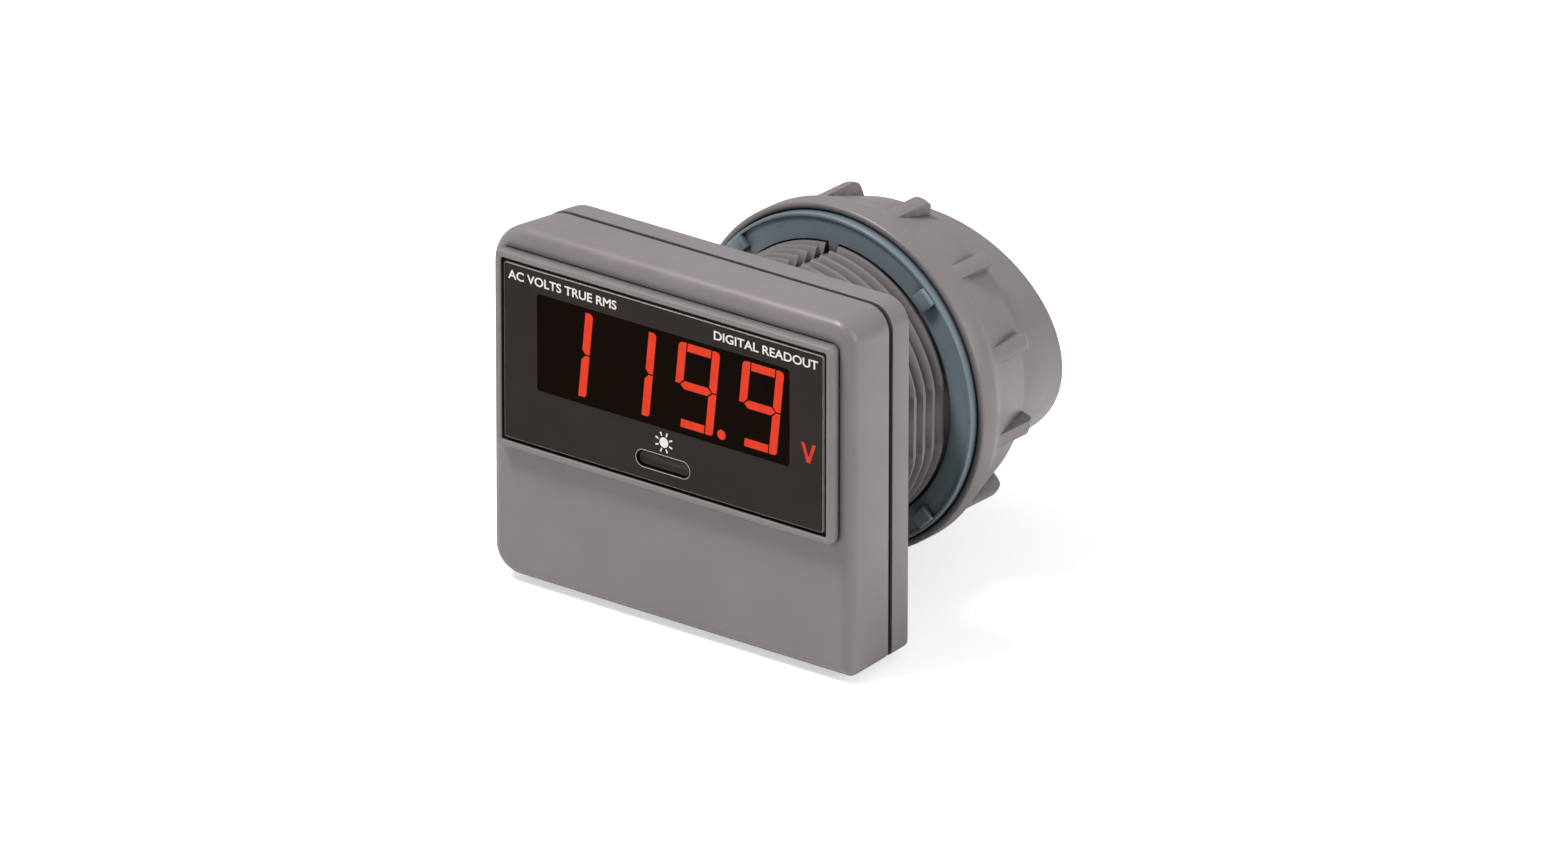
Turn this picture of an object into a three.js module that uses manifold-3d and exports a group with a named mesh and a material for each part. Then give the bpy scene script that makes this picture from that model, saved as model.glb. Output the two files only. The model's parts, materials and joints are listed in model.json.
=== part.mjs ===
// Flush-mount digital AC voltmeter. Millimetres, +Z up.
// The display faces -Y and the threaded barrel runs back along +Y. The pieces are drawn
// about the barrel's axis, and the finished group is lowered so that the origin lies on
// the back plate's panel face, straight above the barrel.
import * as THREE from "three";
import { mergeVertices } from "three/addons/utils/BufferGeometryUtils.js";
import Module from "manifold-3d";

const wasm = await Module();
wasm.setup();

// ---- Driving dimensions --------------------------------------------------------------

const GAP = 0.3; // between pieces that rest against each other
const OVERRUN = 1; // how far a cutting tool passes a face
const WALL = 2.4; // housing wall
const ORIGIN_HEIGHT = 38.7; // of the origin above the barrel's axis

// Housing, seen from the front. The top and both sides draw in towards the back.
const HOUSING_WIDTH = 97.3;
const HOUSING_HEIGHT = 80.9;
const HOUSING_CENTRE_Z = 2.5;
const HOUSING_TAPER = 0.07; // how far they draw in per millimetre of depth
const BEZEL_CORNERS = [5.5, 9.6, 6.5, 2.2]; // from the upper right, anticlockwise
const PLATE_CORNERS = [5.5, 9, 6.5, 2.2];
const SHARPEST_CORNER = 0.2;
const HOUSING_CORNER_STEPS = 6;

// Housing, front to back
const PLATE_DEPTH = 6.1;
const GROOVE_WIDTH = 1.4;
const GROOVE_DEPTH = 1.3;
const BEZEL_DEPTH = 13.95;
const BEZEL_EDGE_RADIUS = 3;
const BEZEL_EDGE_STEPS = 4;
const GASKET_INNER = 33;
const GASKET_OUTER = 36;
const GASKET_SINK = 1.2;
const GASKET_PROUD = 0.4;
const GASKET_SEGMENTS = 48;

// Display frame, label and window
const LABEL_WIDTH = 87;
const LABEL_HEIGHT = 41.5;
const LABEL_THICKNESS = 1.2;
const LABEL_CENTRE_Z = 15.2;
const LABEL_RECESS = 0.3;
const LABEL_CORNER = 0.4;
const FRAME_RIM = 1.6;
const FRAME_RISE = 2.6;
const FRAME_CORNER = 1.2;
const FRAME_BEVEL = 0.5;
const FRAME_SEAT = 1.2;
const WINDOW_WIDTH = 68.2;
const WINDOW_HEIGHT = 22.6;
const WINDOW_CENTRE_Z = LABEL_CENTRE_Z + 3.8;
const WINDOW_CORNER = 0.8;
const WINDOW_LEDGE = 0.8; // of bezel behind the window's edge

// LED digits and the board they sit on
const DIGIT_COUNT = 4;
const DIGIT_PITCH = 17.05;
const DIGIT_WIDTH = 16.6;
const DIGIT_HEIGHT = 22;
const DIGIT_DEPTH = 7;
const BOARD_WIDTH = 86;
const BOARD_HEIGHT = 44;
const BOARD_CENTRE_Z = 9.2;
const BOARD_CORNER = 1.5;
const BOARD_THICKNESS = 1.6;
const BOARD_BOSS_RADIUS = 2.6;
const BOARD_SCREW_X = 40;
const BOARD_SCREW_HIGH = 28;
const BOARD_SCREW_LOW = -9;

// Brightness button and its switch
const BUTTON_WIDTH = 13.8;
const BUTTON_HEIGHT = 3.2;
const BUTTON_CENTRE_Z = LABEL_CENTRE_Z - 15.4;
const BUTTON_RECESS = 0.5;
const BUTTON_END_STEPS = 6;
const BUTTON_FLANGE = 1.4;
const BUTTON_FLANGE_THICKNESS = 1;
const SWITCH_SIZE = 6;
const SWITCH_DEPTH = 3.6;
const SWITCH_WELL_FLOOR = 1.4;
const PLUNGER_RADIUS = 1.7;
const PLUNGER_TRAVEL = 1;
const PLUNGER_PLAY = 0.05;

// Threaded barrel
const BARREL_RADIUS = 31.2;
const BARREL_BORE = 27.5;
const BARREL_LENGTH = 52;
const BARREL_SEGMENTS = 60;
const FLAT_HALF_WIDTH = 30.2;
const FLAT_HALF_HEIGHT = 12;
const SLOT_WIDTH = 3.4;
const SLOT_DEPTH = 2.2;
const SLOT_START = 2;

// Keyed washer
const WASHER_BACK = 38;
const WASHER_THICKNESS = 3.4;
const WASHER_RADIUS = 37.4;
const WASHER_RIM_WIDTH = 1;
const WASHER_RIM_RISE = 0.6;
const WASHER_CHAMFER = 0.5;
const NUB_COUNT = 4;
const NUB_WIDTH = 4.2;
const NUB_LENGTH = 3.4;
const NUB_OVERLAP = 0.2; // into the rim
const NUB_RISE = 1.6;

// Ring nut. A collar on its front stands round the washer.
const NUT_FRONT = 38.4;
const NUT_COLLAR_FRONT = 36.1;
const NUT_COLLAR_INNER = WASHER_RADIUS + GAP;
const NUT_BACK = 57.4;
const NUT_BORE = BARREL_RADIUS + GAP;
const NUT_LIP_RADIUS = 39.2;
const NUT_LIP_CHAMFER = 0.5;
const NUT_LIP_THICKNESS = 2.4;
const NUT_SHOULDER = 0.7; // of the body over the ribs, just behind the lip
const NUT_SHOULDER_DEPTH = 1.2;
const NUT_EDGE = 0.7;
const NUT_WAIST_RADIUS = 34.2;
const RIB_COUNT = 12;
const RIB_RADIUS = 38.1;
const RIB_WIDTH = 3.2;
const RIB_START = NUT_FRONT + 5;
const RIB_END = 56.7;
const RIB_END_ROUND = 2.2;
const RIB_PHASE = THREE.MathUtils.degToRad(12.3);

// Rear cap: a skin from the barrel's round end to a smaller circle that leans back
const CAP_END_RADIUS = 30.5;
const CAP_END_Y = 72.8;
const CAP_END_Z = 2;
const CAP_SLOPE = THREE.MathUtils.degToRad(16.8); // upwards
const CAP_TURN = THREE.MathUtils.degToRad(4.4); // towards -X
const CAP_EDGE = 0.8;
const CAP_WALL = 2.2;
const CAP_SPIGOT = 6;
const CAP_SCREW_X = 22.5;
const CAP_SCREW_HEAD = 66;
const CAP_SCREW_SEAT = 64;
const CAP_POST_RADIUS = 3.4;
const CAP_POST_END = CAP_END_Y - 4;
const CAP_HEAD_HOLE_RADIUS = 3;
const CAP_SHANK_HOLE_RADIUS = 1.8;
const CAP_BOSS_X = 24.5; // far enough out to run into the barrel's wall
const CAP_BOSS_START = 30;

// Terminals, measured from the middle of the cap's sloping end
const TERMINAL_COUNT = 3;
const TERMINAL_PITCH = 9.5;
const TERMINAL_BLOCK_WIDTH = 31;
const TERMINAL_BLOCK_HEIGHT = 14;
const TERMINAL_BLOCK_DEPTH = 17.5;
const TERMINAL_BLOCK_PROUD = 1.5;
const TERMINAL_WELL_DEPTH = 9;
const TERMINAL_WELL_WIDTH = 7.2;
const TERMINAL_WELL_HEIGHT = 10.4;
const TERMINAL_PLATE_THICKNESS = 1.2;
const TERMINAL_PLATE_GAP = 0.4;

// Electronics in the barrel
const MAIN_BOARD_TOP = -8;
const MAIN_BOARD_WIDTH = 49;
const MAIN_BOARD_FRONT = -4;
const MAIN_BOARD_BACK = 44;
const HEADER_WIDTH = 26;
const HEADER_HEIGHT = 3.5;
const HEADER_OVERLAP = 4; // along the main board
const CORE_WIDTH = 26;
const CORE_HEIGHT = 22;
const CORE_FRONT = 22;
const CORE_BACK = 38;
const CORE_LEG = 4; // half the middle leg, and each yoke's thickness
const CORE_WINDOW_OUTER = 9.5;
const WINDING_FRONT = 16;
const WINDING_BACK = 43;
const CAPACITOR = { radius: 5, height: 14, x: -17.5, y: 8 };
const DRIVER_CHIP = { x: [-8, 8], y: [4, 12], height: 3.5 };
const RECTIFIER = { x: [12, 20], y: [4, 10], height: 5 };
const TRIM_POT = { x: [13, 19.5], y: [14, 19], height: 6.5 };
const TRIM_SCREW = { radius: 1.6, depth: 1, x: 16.2, y: 16.5 };

// Screws
const HOUSING_SCREW = { shank: 11, radius: 1.1, headRadius: 2.6, headHeight: 1.6 };
const BOARD_SCREW = { shank: 6, radius: 0.9, headRadius: 2.2, headHeight: 1.3 };
const CAP_SCREW = { shank: 24, radius: 1.1, headRadius: 2.6, headHeight: 1.6 };
const TERMINAL_SCREW = { shank: 1.6, radius: 1.2, headRadius: 2.9, headHeight: 2.2 };
const SCREW_SLOT = 0.7;
const SHANK_SEGMENTS = 12;
const HEAD_SEGMENTS = 16;
const HOUSING_SCREW_X = 42;
const HOUSING_SCREW_HIGH = HOUSING_CENTRE_Z + 33.2;
const HOUSING_SCREW_LOW = HOUSING_CENTRE_Z - 33.2;
const HOUSING_BOSS_RADIUS = 3.2;
const HOUSING_BOSS_END = -1;
const HOUSING_SHANK_HOLE_RADIUS = 2;
const HOUSING_HEAD_HOLE_RADIUS = 3;

// ---- Derived positions ---------------------------------------------------------------

const plateFrontY = -PLATE_DEPTH;
const bezelBackY = plateFrontY - GROOVE_WIDTH;
const bezelFrontY = bezelBackY - BEZEL_DEPTH;
const bezelWallBackY = bezelFrontY + WALL;
const frameFrontY = bezelFrontY - FRAME_RISE;
const seatY = bezelFrontY + FRAME_SEAT;
const labelFrontY = frameFrontY + LABEL_RECESS;
const labelBackY = labelFrontY + LABEL_THICKNESS;
const digitFrontY = bezelWallBackY + GAP;
const digitBackY = digitFrontY + DIGIT_DEPTH;
const boardFrontY = digitBackY + GAP;
const boardBackY = boardFrontY + BOARD_THICKNESS;
const frameWidth = LABEL_WIDTH + 2 * FRAME_RIM;
const frameHeight = LABEL_HEIGHT + 2 * FRAME_RIM;
const capFrontY = BARREL_LENGTH + GAP;
const spigotRadius = BARREL_BORE - GAP;
const mainFloorZ = MAIN_BOARD_TOP + GAP;

// Four places, numbered from the upper left as seen from the front.
const corners = (x, high, low) => [
  [-x, high],
  [x, high],
  [x, low],
  [-x, low],
];
const housingScrewPlaces = corners(HOUSING_SCREW_X, HOUSING_SCREW_HIGH, HOUSING_SCREW_LOW);
const boardScrewPlaces = corners(BOARD_SCREW_X, BOARD_SCREW_HIGH, BOARD_SCREW_LOW);
const capScrewPlaces = [
  [-CAP_SCREW_X, 0],
  [CAP_SCREW_X, 0],
];

// ---- Shapes --------------------------------------------------------------------------

// Points of a rounded rectangle centred on (0, z), the same number for every size. The
// corners share one radius, or have one each, anticlockwise from the upper right.
function outlinePoints(width, height, radius, z = 0, steps = HOUSING_CORNER_STEPS) {
  const points = [];
  const signs = [[1, 1], [-1, 1], [-1, -1], [1, -1]];
  signs.forEach(([sx, sz], corner) => {
    const r = Array.isArray(radius) ? radius[corner] : radius;
    for (let i = 0; i <= steps; i++) {
      const angle = ((corner + i / steps) * Math.PI) / 2;
      const x = sx * (width / 2 - r) + r * Math.cos(angle);
      const up = sz * (height / 2 - r) + r * Math.sin(angle);
      points.push(new THREE.Vector2(x, z + up));
    }
  });
  return points;
}

// A prism whose outline lies in X and Z, from yFront to yBack.
function prism(points, yFront, yBack) {
  const shape = new THREE.Shape(points);
  const options = { depth: yBack - yFront, bevelEnabled: false };
  const geometry = new THREE.ExtrudeGeometry(shape, options);
  return geometry.rotateX(Math.PI / 2).translate(0, yBack, 0);
}

function roundedPlate(width, height, radius, z, yFront, yBack, steps = 3) {
  return prism(outlinePoints(width, height, radius, z, steps), yFront, yBack);
}

// Stands a flat outline up at a given depth.
function outlineAt(y, points) {
  return points.map((p) => new THREE.Vector3(p.x, y, p.y));
}

// A skin through rings of equal point count, closed by a flat face at each end.
function loft(rings) {
  const count = rings[0].length;
  const positions = rings.flat().flatMap((p) => [p.x, p.y, p.z]);
  const index = [];
  for (let r = 0; r + 1 < rings.length; r++) {
    for (let i = 0; i < count; i++) {
      const a = r * count + i;
      const b = r * count + ((i + 1) % count);
      index.push(a, a + count, b);
      index.push(b, a + count, b + count);
    }
  }
  const last = (rings.length - 1) * count;
  for (let i = 1; i + 1 < count; i++) {
    index.push(0, i, i + 1);
    index.push(last, last + i + 1, last + i);
  }
  const geometry = new THREE.BufferGeometry();
  geometry.setAttribute("position", new THREE.Float32BufferAttribute(positions, 3));
  geometry.setIndex(index);
  return geometry.toNonIndexed();
}

// A solid of revolution about the barrel's axis. The profile lists [radius, y] and
// closes on itself.
function turned(profile, segments = BARREL_SEGMENTS) {
  const points = profile.map(([radius, y]) => new THREE.Vector2(radius, y));
  points.push(points[0].clone());
  return new THREE.LatheGeometry(points, segments);
}

function ring(inner, outer, yFront, yBack, segments) {
  const profile = [
    [inner, yFront],
    [outer, yFront],
    [outer, yBack],
    [inner, yBack],
  ];
  return turned(profile, segments);
}

// A cylinder parallel to Y.
function rod(radius, yFront, yBack, x = 0, z = 0, segments = 20) {
  const length = yBack - yFront;
  const geometry = new THREE.CylinderGeometry(radius, radius, length, segments);
  return geometry.translate(x, (yFront + yBack) / 2, z);
}

// A box from its limits on each axis.
function block([x0, x1], [y0, y1], [z0, z1]) {
  const geometry = new THREE.BoxGeometry(x1 - x0, y1 - y0, z1 - z0);
  return geometry.translate((x0 + x1) / 2, (y0 + y1) / 2, (z0 + z1) / 2);
}

// Turns a geometry about the barrel's axis, from +Z towards +X.
function swing(geometry, angle) {
  return geometry.rotateY(angle);
}

// ---- Booleans ------------------------------------------------------------------------

function toSolid(geometry) {
  const bare = new THREE.BufferGeometry();
  const loose = geometry.index ? geometry.toNonIndexed() : geometry;
  bare.setAttribute("position", loose.getAttribute("position"));
  const merged = mergeVertices(bare, 1e-4);
  const mesh = new wasm.Mesh({
    numProp: 3,
    vertProperties: merged.attributes.position.array,
    triVerts: new Uint32Array(merged.index.array),
  });
  return new wasm.Manifold(mesh);
}

function toGeometry(solid) {
  const mesh = solid.getMesh();
  const geometry = new THREE.BufferGeometry();
  geometry.setAttribute("position", new THREE.BufferAttribute(mesh.vertProperties, 3));
  geometry.setIndex(new THREE.BufferAttribute(mesh.triVerts, 1));
  const faceted = geometry.toNonIndexed();
  faceted.computeVertexNormals();
  return faceted;
}

function join(...geometries) {
  return toGeometry(geometries.map(toSolid).reduce((a, b) => a.add(b)));
}

function cut(geometry, ...tools) {
  return toGeometry(tools.map(toSolid).reduce((a, b) => a.subtract(b), toSolid(geometry)));
}

// ---- Finishes ------------------------------------------------------------------------

const finishes = {
  housing: { color: 0x938a88, roughness: 0.55, metalness: 0 },
  washer: { color: 0x5f666a, roughness: 0.5, metalness: 0 },
  label: { color: 0x3c3531, roughness: 0.45, metalness: 0 },
  window: { color: 0x1c110c, roughness: 0.2, metalness: 0 },
  button: { color: 0x28241f, roughness: 0.5, metalness: 0 },
  digit: { color: 0x2a1512, roughness: 0.4, metalness: 0 },
  board: { color: 0x1f5a34, roughness: 0.5, metalness: 0 },
  black: { color: 0x18181a, roughness: 0.5, metalness: 0 },
  gasket: { color: 0x202022, roughness: 0.9, metalness: 0 },
  lamination: { color: 0x6f7073, roughness: 0.45, metalness: 0.9 },
  winding: { color: 0xc9a13a, roughness: 0.6, metalness: 0 },
  steel: { color: 0xb4b6b8, roughness: 0.35, metalness: 0.9 },
  brass: { color: 0xb58f3e, roughness: 0.35, metalness: 0.9 },
  blue: { color: 0x2c56a0, roughness: 0.45, metalness: 0 },
};

const voltmeter = new THREE.Group();

function place(name, geometry, finish) {
  const material = new THREE.MeshStandardMaterial(finishes[finish]);
  const mesh = new THREE.Mesh(geometry, material);
  mesh.name = name;
  voltmeter.add(mesh);
}

// ---- Housing -------------------------------------------------------------------------

// The housing's outline at a given depth, drawn in from its outside by an inset.
function housingOutline(y, inset, corners) {
  const taper = HOUSING_TAPER * (y - bezelFrontY);
  const points = outlinePoints(
    HOUSING_WIDTH - 2 * (taper + inset),
    HOUSING_HEIGHT - taper - 2 * inset,
    corners.map((radius) => Math.max(radius - inset, SHARPEST_CORNER)),
    HOUSING_CENTRE_Z - taper / 2,
  );
  return outlineAt(y, points);
}

function housingSlab(yFront, yBack, inset, corners) {
  return loft([housingOutline(yFront, inset, corners), housingOutline(yBack, inset, corners)]);
}

function rodsAt(places, radius, yFront, yBack, segments) {
  return places.map(([x, z]) => rod(radius, yFront, yBack, x, z, segments));
}

function frontBezel() {
  const rings = [];
  for (let i = 0; i <= BEZEL_EDGE_STEPS; i++) {
    const angle = ((i / BEZEL_EDGE_STEPS) * Math.PI) / 2;
    const y = bezelFrontY + BEZEL_EDGE_RADIUS * (1 - Math.cos(angle));
    const inset = BEZEL_EDGE_RADIUS * (1 - Math.sin(angle));
    rings.push(housingOutline(y, inset, BEZEL_CORNERS));
  }
  rings.push(housingOutline(bezelBackY, 0, BEZEL_CORNERS));
  const skirtFrontY = bezelBackY - OVERRUN;
  const skirt = housingSlab(skirtFrontY, plateFrontY - GAP, GROOVE_DEPTH, BEZEL_CORNERS);
  const cavity = housingSlab(bezelWallBackY, plateFrontY + OVERRUN, WALL, BEZEL_CORNERS);
  const frameSeat = roundedPlate(
    frameWidth + 2 * GAP,
    frameHeight + 2 * GAP,
    FRAME_CORNER + GAP,
    LABEL_CENTRE_Z,
    bezelFrontY - OVERRUN,
    seatY,
  );
  const windowOpening = roundedPlate(
    WINDOW_WIDTH - 2 * WINDOW_LEDGE,
    WINDOW_HEIGHT - 2 * WINDOW_LEDGE,
    WINDOW_CORNER,
    WINDOW_CENTRE_Z,
    bezelFrontY - OVERRUN,
    bezelWallBackY + OVERRUN,
  );
  const shell = cut(join(loft(rings), skirt), cavity, frameSeat, windowOpening, buttonHole());
  const root = bezelWallBackY - GAP;
  const bosses = [
    ...rodsAt(housingScrewPlaces, HOUSING_BOSS_RADIUS, root, plateFrontY - GAP),
    ...rodsAt(boardScrewPlaces, BOARD_BOSS_RADIUS, root, boardFrontY - GAP),
  ];
  const holeStart = bezelWallBackY + OVERRUN;
  const holes = [
    ...rodsAt(housingScrewPlaces, HOUSING_SCREW.radius + GAP, holeStart, 0, SHANK_SEGMENTS),
    ...rodsAt(boardScrewPlaces, BOARD_SCREW.radius + GAP, holeStart, 0, SHANK_SEGMENTS),
  ];
  place("front_bezel", cut(join(shell, ...bosses), ...holes), "housing");
}

// The pill-shaped hole the button stands in, through the label and the bezel's wall.
function buttonHole() {
  return roundedPlate(
    BUTTON_WIDTH + 2 * GAP,
    BUTTON_HEIGHT + 2 * GAP,
    BUTTON_HEIGHT / 2 + GAP,
    BUTTON_CENTRE_Z,
    frameFrontY - OVERRUN,
    bezelWallBackY + OVERRUN,
    BUTTON_END_STEPS,
  );
}

function displayFrame() {
  const rim = (y, inset) => outlineAt(y, outlinePoints(
    frameWidth - 2 * inset,
    frameHeight - 2 * inset,
    FRAME_CORNER - inset,
    LABEL_CENTRE_Z,
  ));
  const outer = loft([
    rim(frameFrontY, FRAME_BEVEL),
    rim(frameFrontY + FRAME_BEVEL, 0),
    rim(seatY - GAP, 0),
  ]);
  const inside = roundedPlate(
    LABEL_WIDTH,
    LABEL_HEIGHT,
    LABEL_CORNER,
    LABEL_CENTRE_Z,
    frameFrontY - OVERRUN,
    seatY + OVERRUN,
  );
  place("display_frame", cut(outer, inside), "housing");
}

function displayLabel() {
  const sheet = roundedPlate(
    LABEL_WIDTH - 2 * GAP,
    LABEL_HEIGHT - 2 * GAP,
    LABEL_CORNER,
    LABEL_CENTRE_Z,
    labelFrontY,
    seatY - GAP,
  );
  const opening = roundedPlate(
    WINDOW_WIDTH,
    WINDOW_HEIGHT,
    WINDOW_CORNER,
    WINDOW_CENTRE_Z,
    labelFrontY - OVERRUN,
    seatY + OVERRUN,
  );
  place("label_plate", cut(sheet, opening, buttonHole()), "label");
  const pane = roundedPlate(
    WINDOW_WIDTH - 2 * GAP,
    WINDOW_HEIGHT - 2 * GAP,
    WINDOW_CORNER - GAP,
    WINDOW_CENTRE_Z,
    labelFrontY,
    labelBackY,
  );
  place("display_window", pane, "window");
}

function rearHousing() {
  const plate = cut(
    housingSlab(plateFrontY, 0, 0, PLATE_CORNERS),
    housingSlab(plateFrontY - OVERRUN, -WALL, WALL, PLATE_CORNERS),
  );
  const barrel = rod(BARREL_RADIUS, -WALL, BARREL_LENGTH, 0, 0, BARREL_SEGMENTS);
  const bore = rod(
    BARREL_BORE,
    -WALL - OVERRUN,
    BARREL_LENGTH + OVERRUN,
    0,
    0,
    BARREL_SEGMENTS,
  );
  const slot = block(
    [-SLOT_WIDTH / 2, SLOT_WIDTH / 2],
    [SLOT_START, BARREL_LENGTH + OVERRUN],
    [BARREL_RADIUS - SLOT_DEPTH, BARREL_RADIUS + OVERRUN],
  );
  const flatSpan = [0, BARREL_LENGTH + OVERRUN];
  const flatHeight = [-FLAT_HALF_HEIGHT, FLAT_HALF_HEIGHT];
  const flats = [
    block([-BARREL_RADIUS - OVERRUN, -FLAT_HALF_WIDTH], flatSpan, flatHeight),
    block([FLAT_HALF_WIDTH, BARREL_RADIUS + OVERRUN], flatSpan, flatHeight),
  ];
  const gasketGroove = ring(
    GASKET_INNER - GAP,
    GASKET_OUTER + GAP,
    -GASKET_SINK - GAP,
    OVERRUN,
    GASKET_SEGMENTS,
  );
  const housingBosses = rodsAt(
    housingScrewPlaces,
    HOUSING_BOSS_RADIUS,
    plateFrontY,
    HOUSING_BOSS_END,
  );
  const shankStart = plateFrontY - OVERRUN;
  const screwHoles = [
    ...rodsAt(housingScrewPlaces, HOUSING_SHANK_HOLE_RADIUS, shankStart, OVERRUN, HEAD_SEGMENTS),
    ...rodsAt(housingScrewPlaces, HOUSING_HEAD_HOLE_RADIUS, -WALL, OVERRUN),
  ];
  // The cap's posts stand on two bosses inside the barrel.
  const capBosses = rodsAt(
    capScrewPlaces.map(([x]) => [Math.sign(x) * CAP_BOSS_X, 0]),
    CAP_POST_RADIUS,
    CAP_BOSS_START,
    BARREL_LENGTH - CAP_SPIGOT - GAP,
  );
  const capHoles = rodsAt(
    capScrewPlaces,
    CAP_SCREW.radius + GAP,
    CAP_BOSS_START + OVERRUN,
    BARREL_LENGTH,
    SHANK_SEGMENTS,
  );
  const shell = cut(join(plate, barrel, ...housingBosses), bore);
  const body = join(shell, ...capBosses);
  place(
    "rear_housing",
    cut(body, slot, ...flats, gasketGroove, ...screwHoles, ...capHoles),
    "housing",
  );
}

function panelGasket() {
  const flat = ring(GASKET_INNER, GASKET_OUTER, -GASKET_SINK, GASKET_PROUD, GASKET_SEGMENTS);
  place("panel_gasket", flat, "gasket");
}

// A slotted pan-head screw along Y, with its head's top at headY and its shank before it.
function screw(x, z, headY, { shank, radius, headRadius, headHeight }) {
  const underHead = headY - headHeight;
  const slotFloor = headY - headHeight / 2;
  const head = rod(headRadius, underHead, headY, x, z, HEAD_SEGMENTS);
  const body = rod(radius, underHead - shank, slotFloor, x, z, SHANK_SEGMENTS);
  const slot = block(
    [x - headRadius, x + headRadius],
    [slotFloor, headY + OVERRUN],
    [z - SCREW_SLOT / 2, z + SCREW_SLOT / 2],
  );
  return cut(join(head, body), slot);
}

function placeScrews(name, places, headY, size) {
  places.forEach(([x, z], i) => {
    place(`${name}_${i + 1}`, screw(x, z, headY, size), "steel");
  });
}

// ---- Display -------------------------------------------------------------------------

function digits() {
  for (let i = 0; i < DIGIT_COUNT; i++) {
    const x = (i - (DIGIT_COUNT - 1) / 2) * DIGIT_PITCH;
    const body = block(
      [x - DIGIT_WIDTH / 2, x + DIGIT_WIDTH / 2],
      [digitFrontY, digitBackY],
      [WINDOW_CENTRE_Z - DIGIT_HEIGHT / 2, WINDOW_CENTRE_Z + DIGIT_HEIGHT / 2],
    );
    place(`led_digit_${i + 1}`, body, "digit");
  }
}

function displayBoard() {
  const board = roundedPlate(
    BOARD_WIDTH,
    BOARD_HEIGHT,
    BOARD_CORNER,
    BOARD_CENTRE_Z,
    boardFrontY,
    boardBackY,
  );
  const holes = rodsAt(
    boardScrewPlaces,
    BOARD_SCREW.radius + GAP,
    boardFrontY - OVERRUN,
    boardBackY + OVERRUN,
    SHANK_SEGMENTS,
  );
  place("display_board", cut(board, ...holes), "board");
  const headY = boardBackY + GAP + BOARD_SCREW.headHeight;
  placeScrews("board_screw", boardScrewPlaces, headY, BOARD_SCREW);
}

function brightnessButton() {
  const faceY = labelFrontY + BUTTON_RECESS;
  const flangeFrontY = bezelWallBackY + GAP;
  const flangeBackY = flangeFrontY + BUTTON_FLANGE_THICKNESS;
  const cap = roundedPlate(
    BUTTON_WIDTH,
    BUTTON_HEIGHT,
    BUTTON_HEIGHT / 2,
    BUTTON_CENTRE_Z,
    faceY,
    flangeBackY,
    BUTTON_END_STEPS,
  );
  const flange = roundedPlate(
    BUTTON_WIDTH + 2 * BUTTON_FLANGE,
    BUTTON_HEIGHT + 2 * BUTTON_FLANGE,
    BUTTON_FLANGE,
    BUTTON_CENTRE_Z,
    flangeFrontY,
    flangeBackY,
  );
  place("brightness_button", join(cap, flange), "button");
  pushSwitch(flangeBackY + PLUNGER_PLAY);
}

function pushSwitch(plungerFrontY) {
  const backY = boardFrontY - GAP;
  const frontY = backY - SWITCH_DEPTH;
  const wellFloorY = backY - SWITCH_WELL_FLOOR;
  const half = SWITCH_SIZE / 2;
  const height = [BUTTON_CENTRE_Z - half, BUTTON_CENTRE_Z + half];
  const body = block([-half, half], [frontY, backY], height);
  const well = rod(PLUNGER_RADIUS + GAP, frontY - OVERRUN, wellFloorY, 0, BUTTON_CENTRE_Z);
  place("switch_body", cut(body, well), "black");
  const plungerBackY = wellFloorY - PLUNGER_TRAVEL;
  const plunger = rod(PLUNGER_RADIUS, plungerFrontY, plungerBackY, 0, BUTTON_CENTRE_Z);
  place("switch_plunger", plunger, "button");
}

// ---- Electronics in the barrel -------------------------------------------------------

function mainBoard() {
  const board = block(
    [-MAIN_BOARD_WIDTH / 2, MAIN_BOARD_WIDTH / 2],
    [MAIN_BOARD_FRONT, MAIN_BOARD_BACK],
    [MAIN_BOARD_TOP - BOARD_THICKNESS, MAIN_BOARD_TOP],
  );
  place("main_board", board, "board");
  const header = block(
    [-HEADER_WIDTH / 2, HEADER_WIDTH / 2],
    [boardBackY + GAP, MAIN_BOARD_FRONT + HEADER_OVERLAP],
    [mainFloorZ, mainFloorZ + HEADER_HEIGHT],
  );
  place("board_header", header, "black");
}

// Laminations with two windows, and the winding round their middle leg.
function transformer() {
  const windowZ = [mainFloorZ + CORE_LEG, mainFloorZ + CORE_HEIGHT - CORE_LEG];
  const windingZ = [windowZ[0] + GAP, windowZ[1] - GAP];
  const throughCore = [CORE_FRONT - OVERRUN, CORE_BACK + OVERRUN];
  const frame = block(
    [-CORE_WIDTH / 2, CORE_WIDTH / 2],
    [CORE_FRONT, CORE_BACK],
    [mainFloorZ, mainFloorZ + CORE_HEIGHT],
  );
  const windows = [
    block([-CORE_WINDOW_OUTER, -CORE_LEG], throughCore, windowZ),
    block([CORE_LEG, CORE_WINDOW_OUTER], throughCore, windowZ),
  ];
  place("transformer_core", cut(frame, ...windows), "lamination");
  const outer = CORE_WINDOW_OUTER - GAP;
  const winding = block([-outer, outer], [WINDING_FRONT, WINDING_BACK], windingZ);
  const leg = block(
    [-CORE_LEG - GAP, CORE_LEG + GAP],
    [CORE_FRONT - GAP, CORE_BACK + GAP],
    [mainFloorZ, mainFloorZ + CORE_HEIGHT],
  );
  place("transformer_winding", cut(winding, leg), "winding");
}

// A box standing on the main board.
function standing({ x, y, height }) {
  return block(x, y, [mainFloorZ, mainFloorZ + height]);
}

// A cylinder standing at a given height over the main board.
function upright({ radius, x, y }, from, to, segments) {
  const geometry = new THREE.CylinderGeometry(radius, radius, to - from, segments);
  return geometry.rotateX(Math.PI / 2).translate(x, y, mainFloorZ + (from + to) / 2);
}

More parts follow.
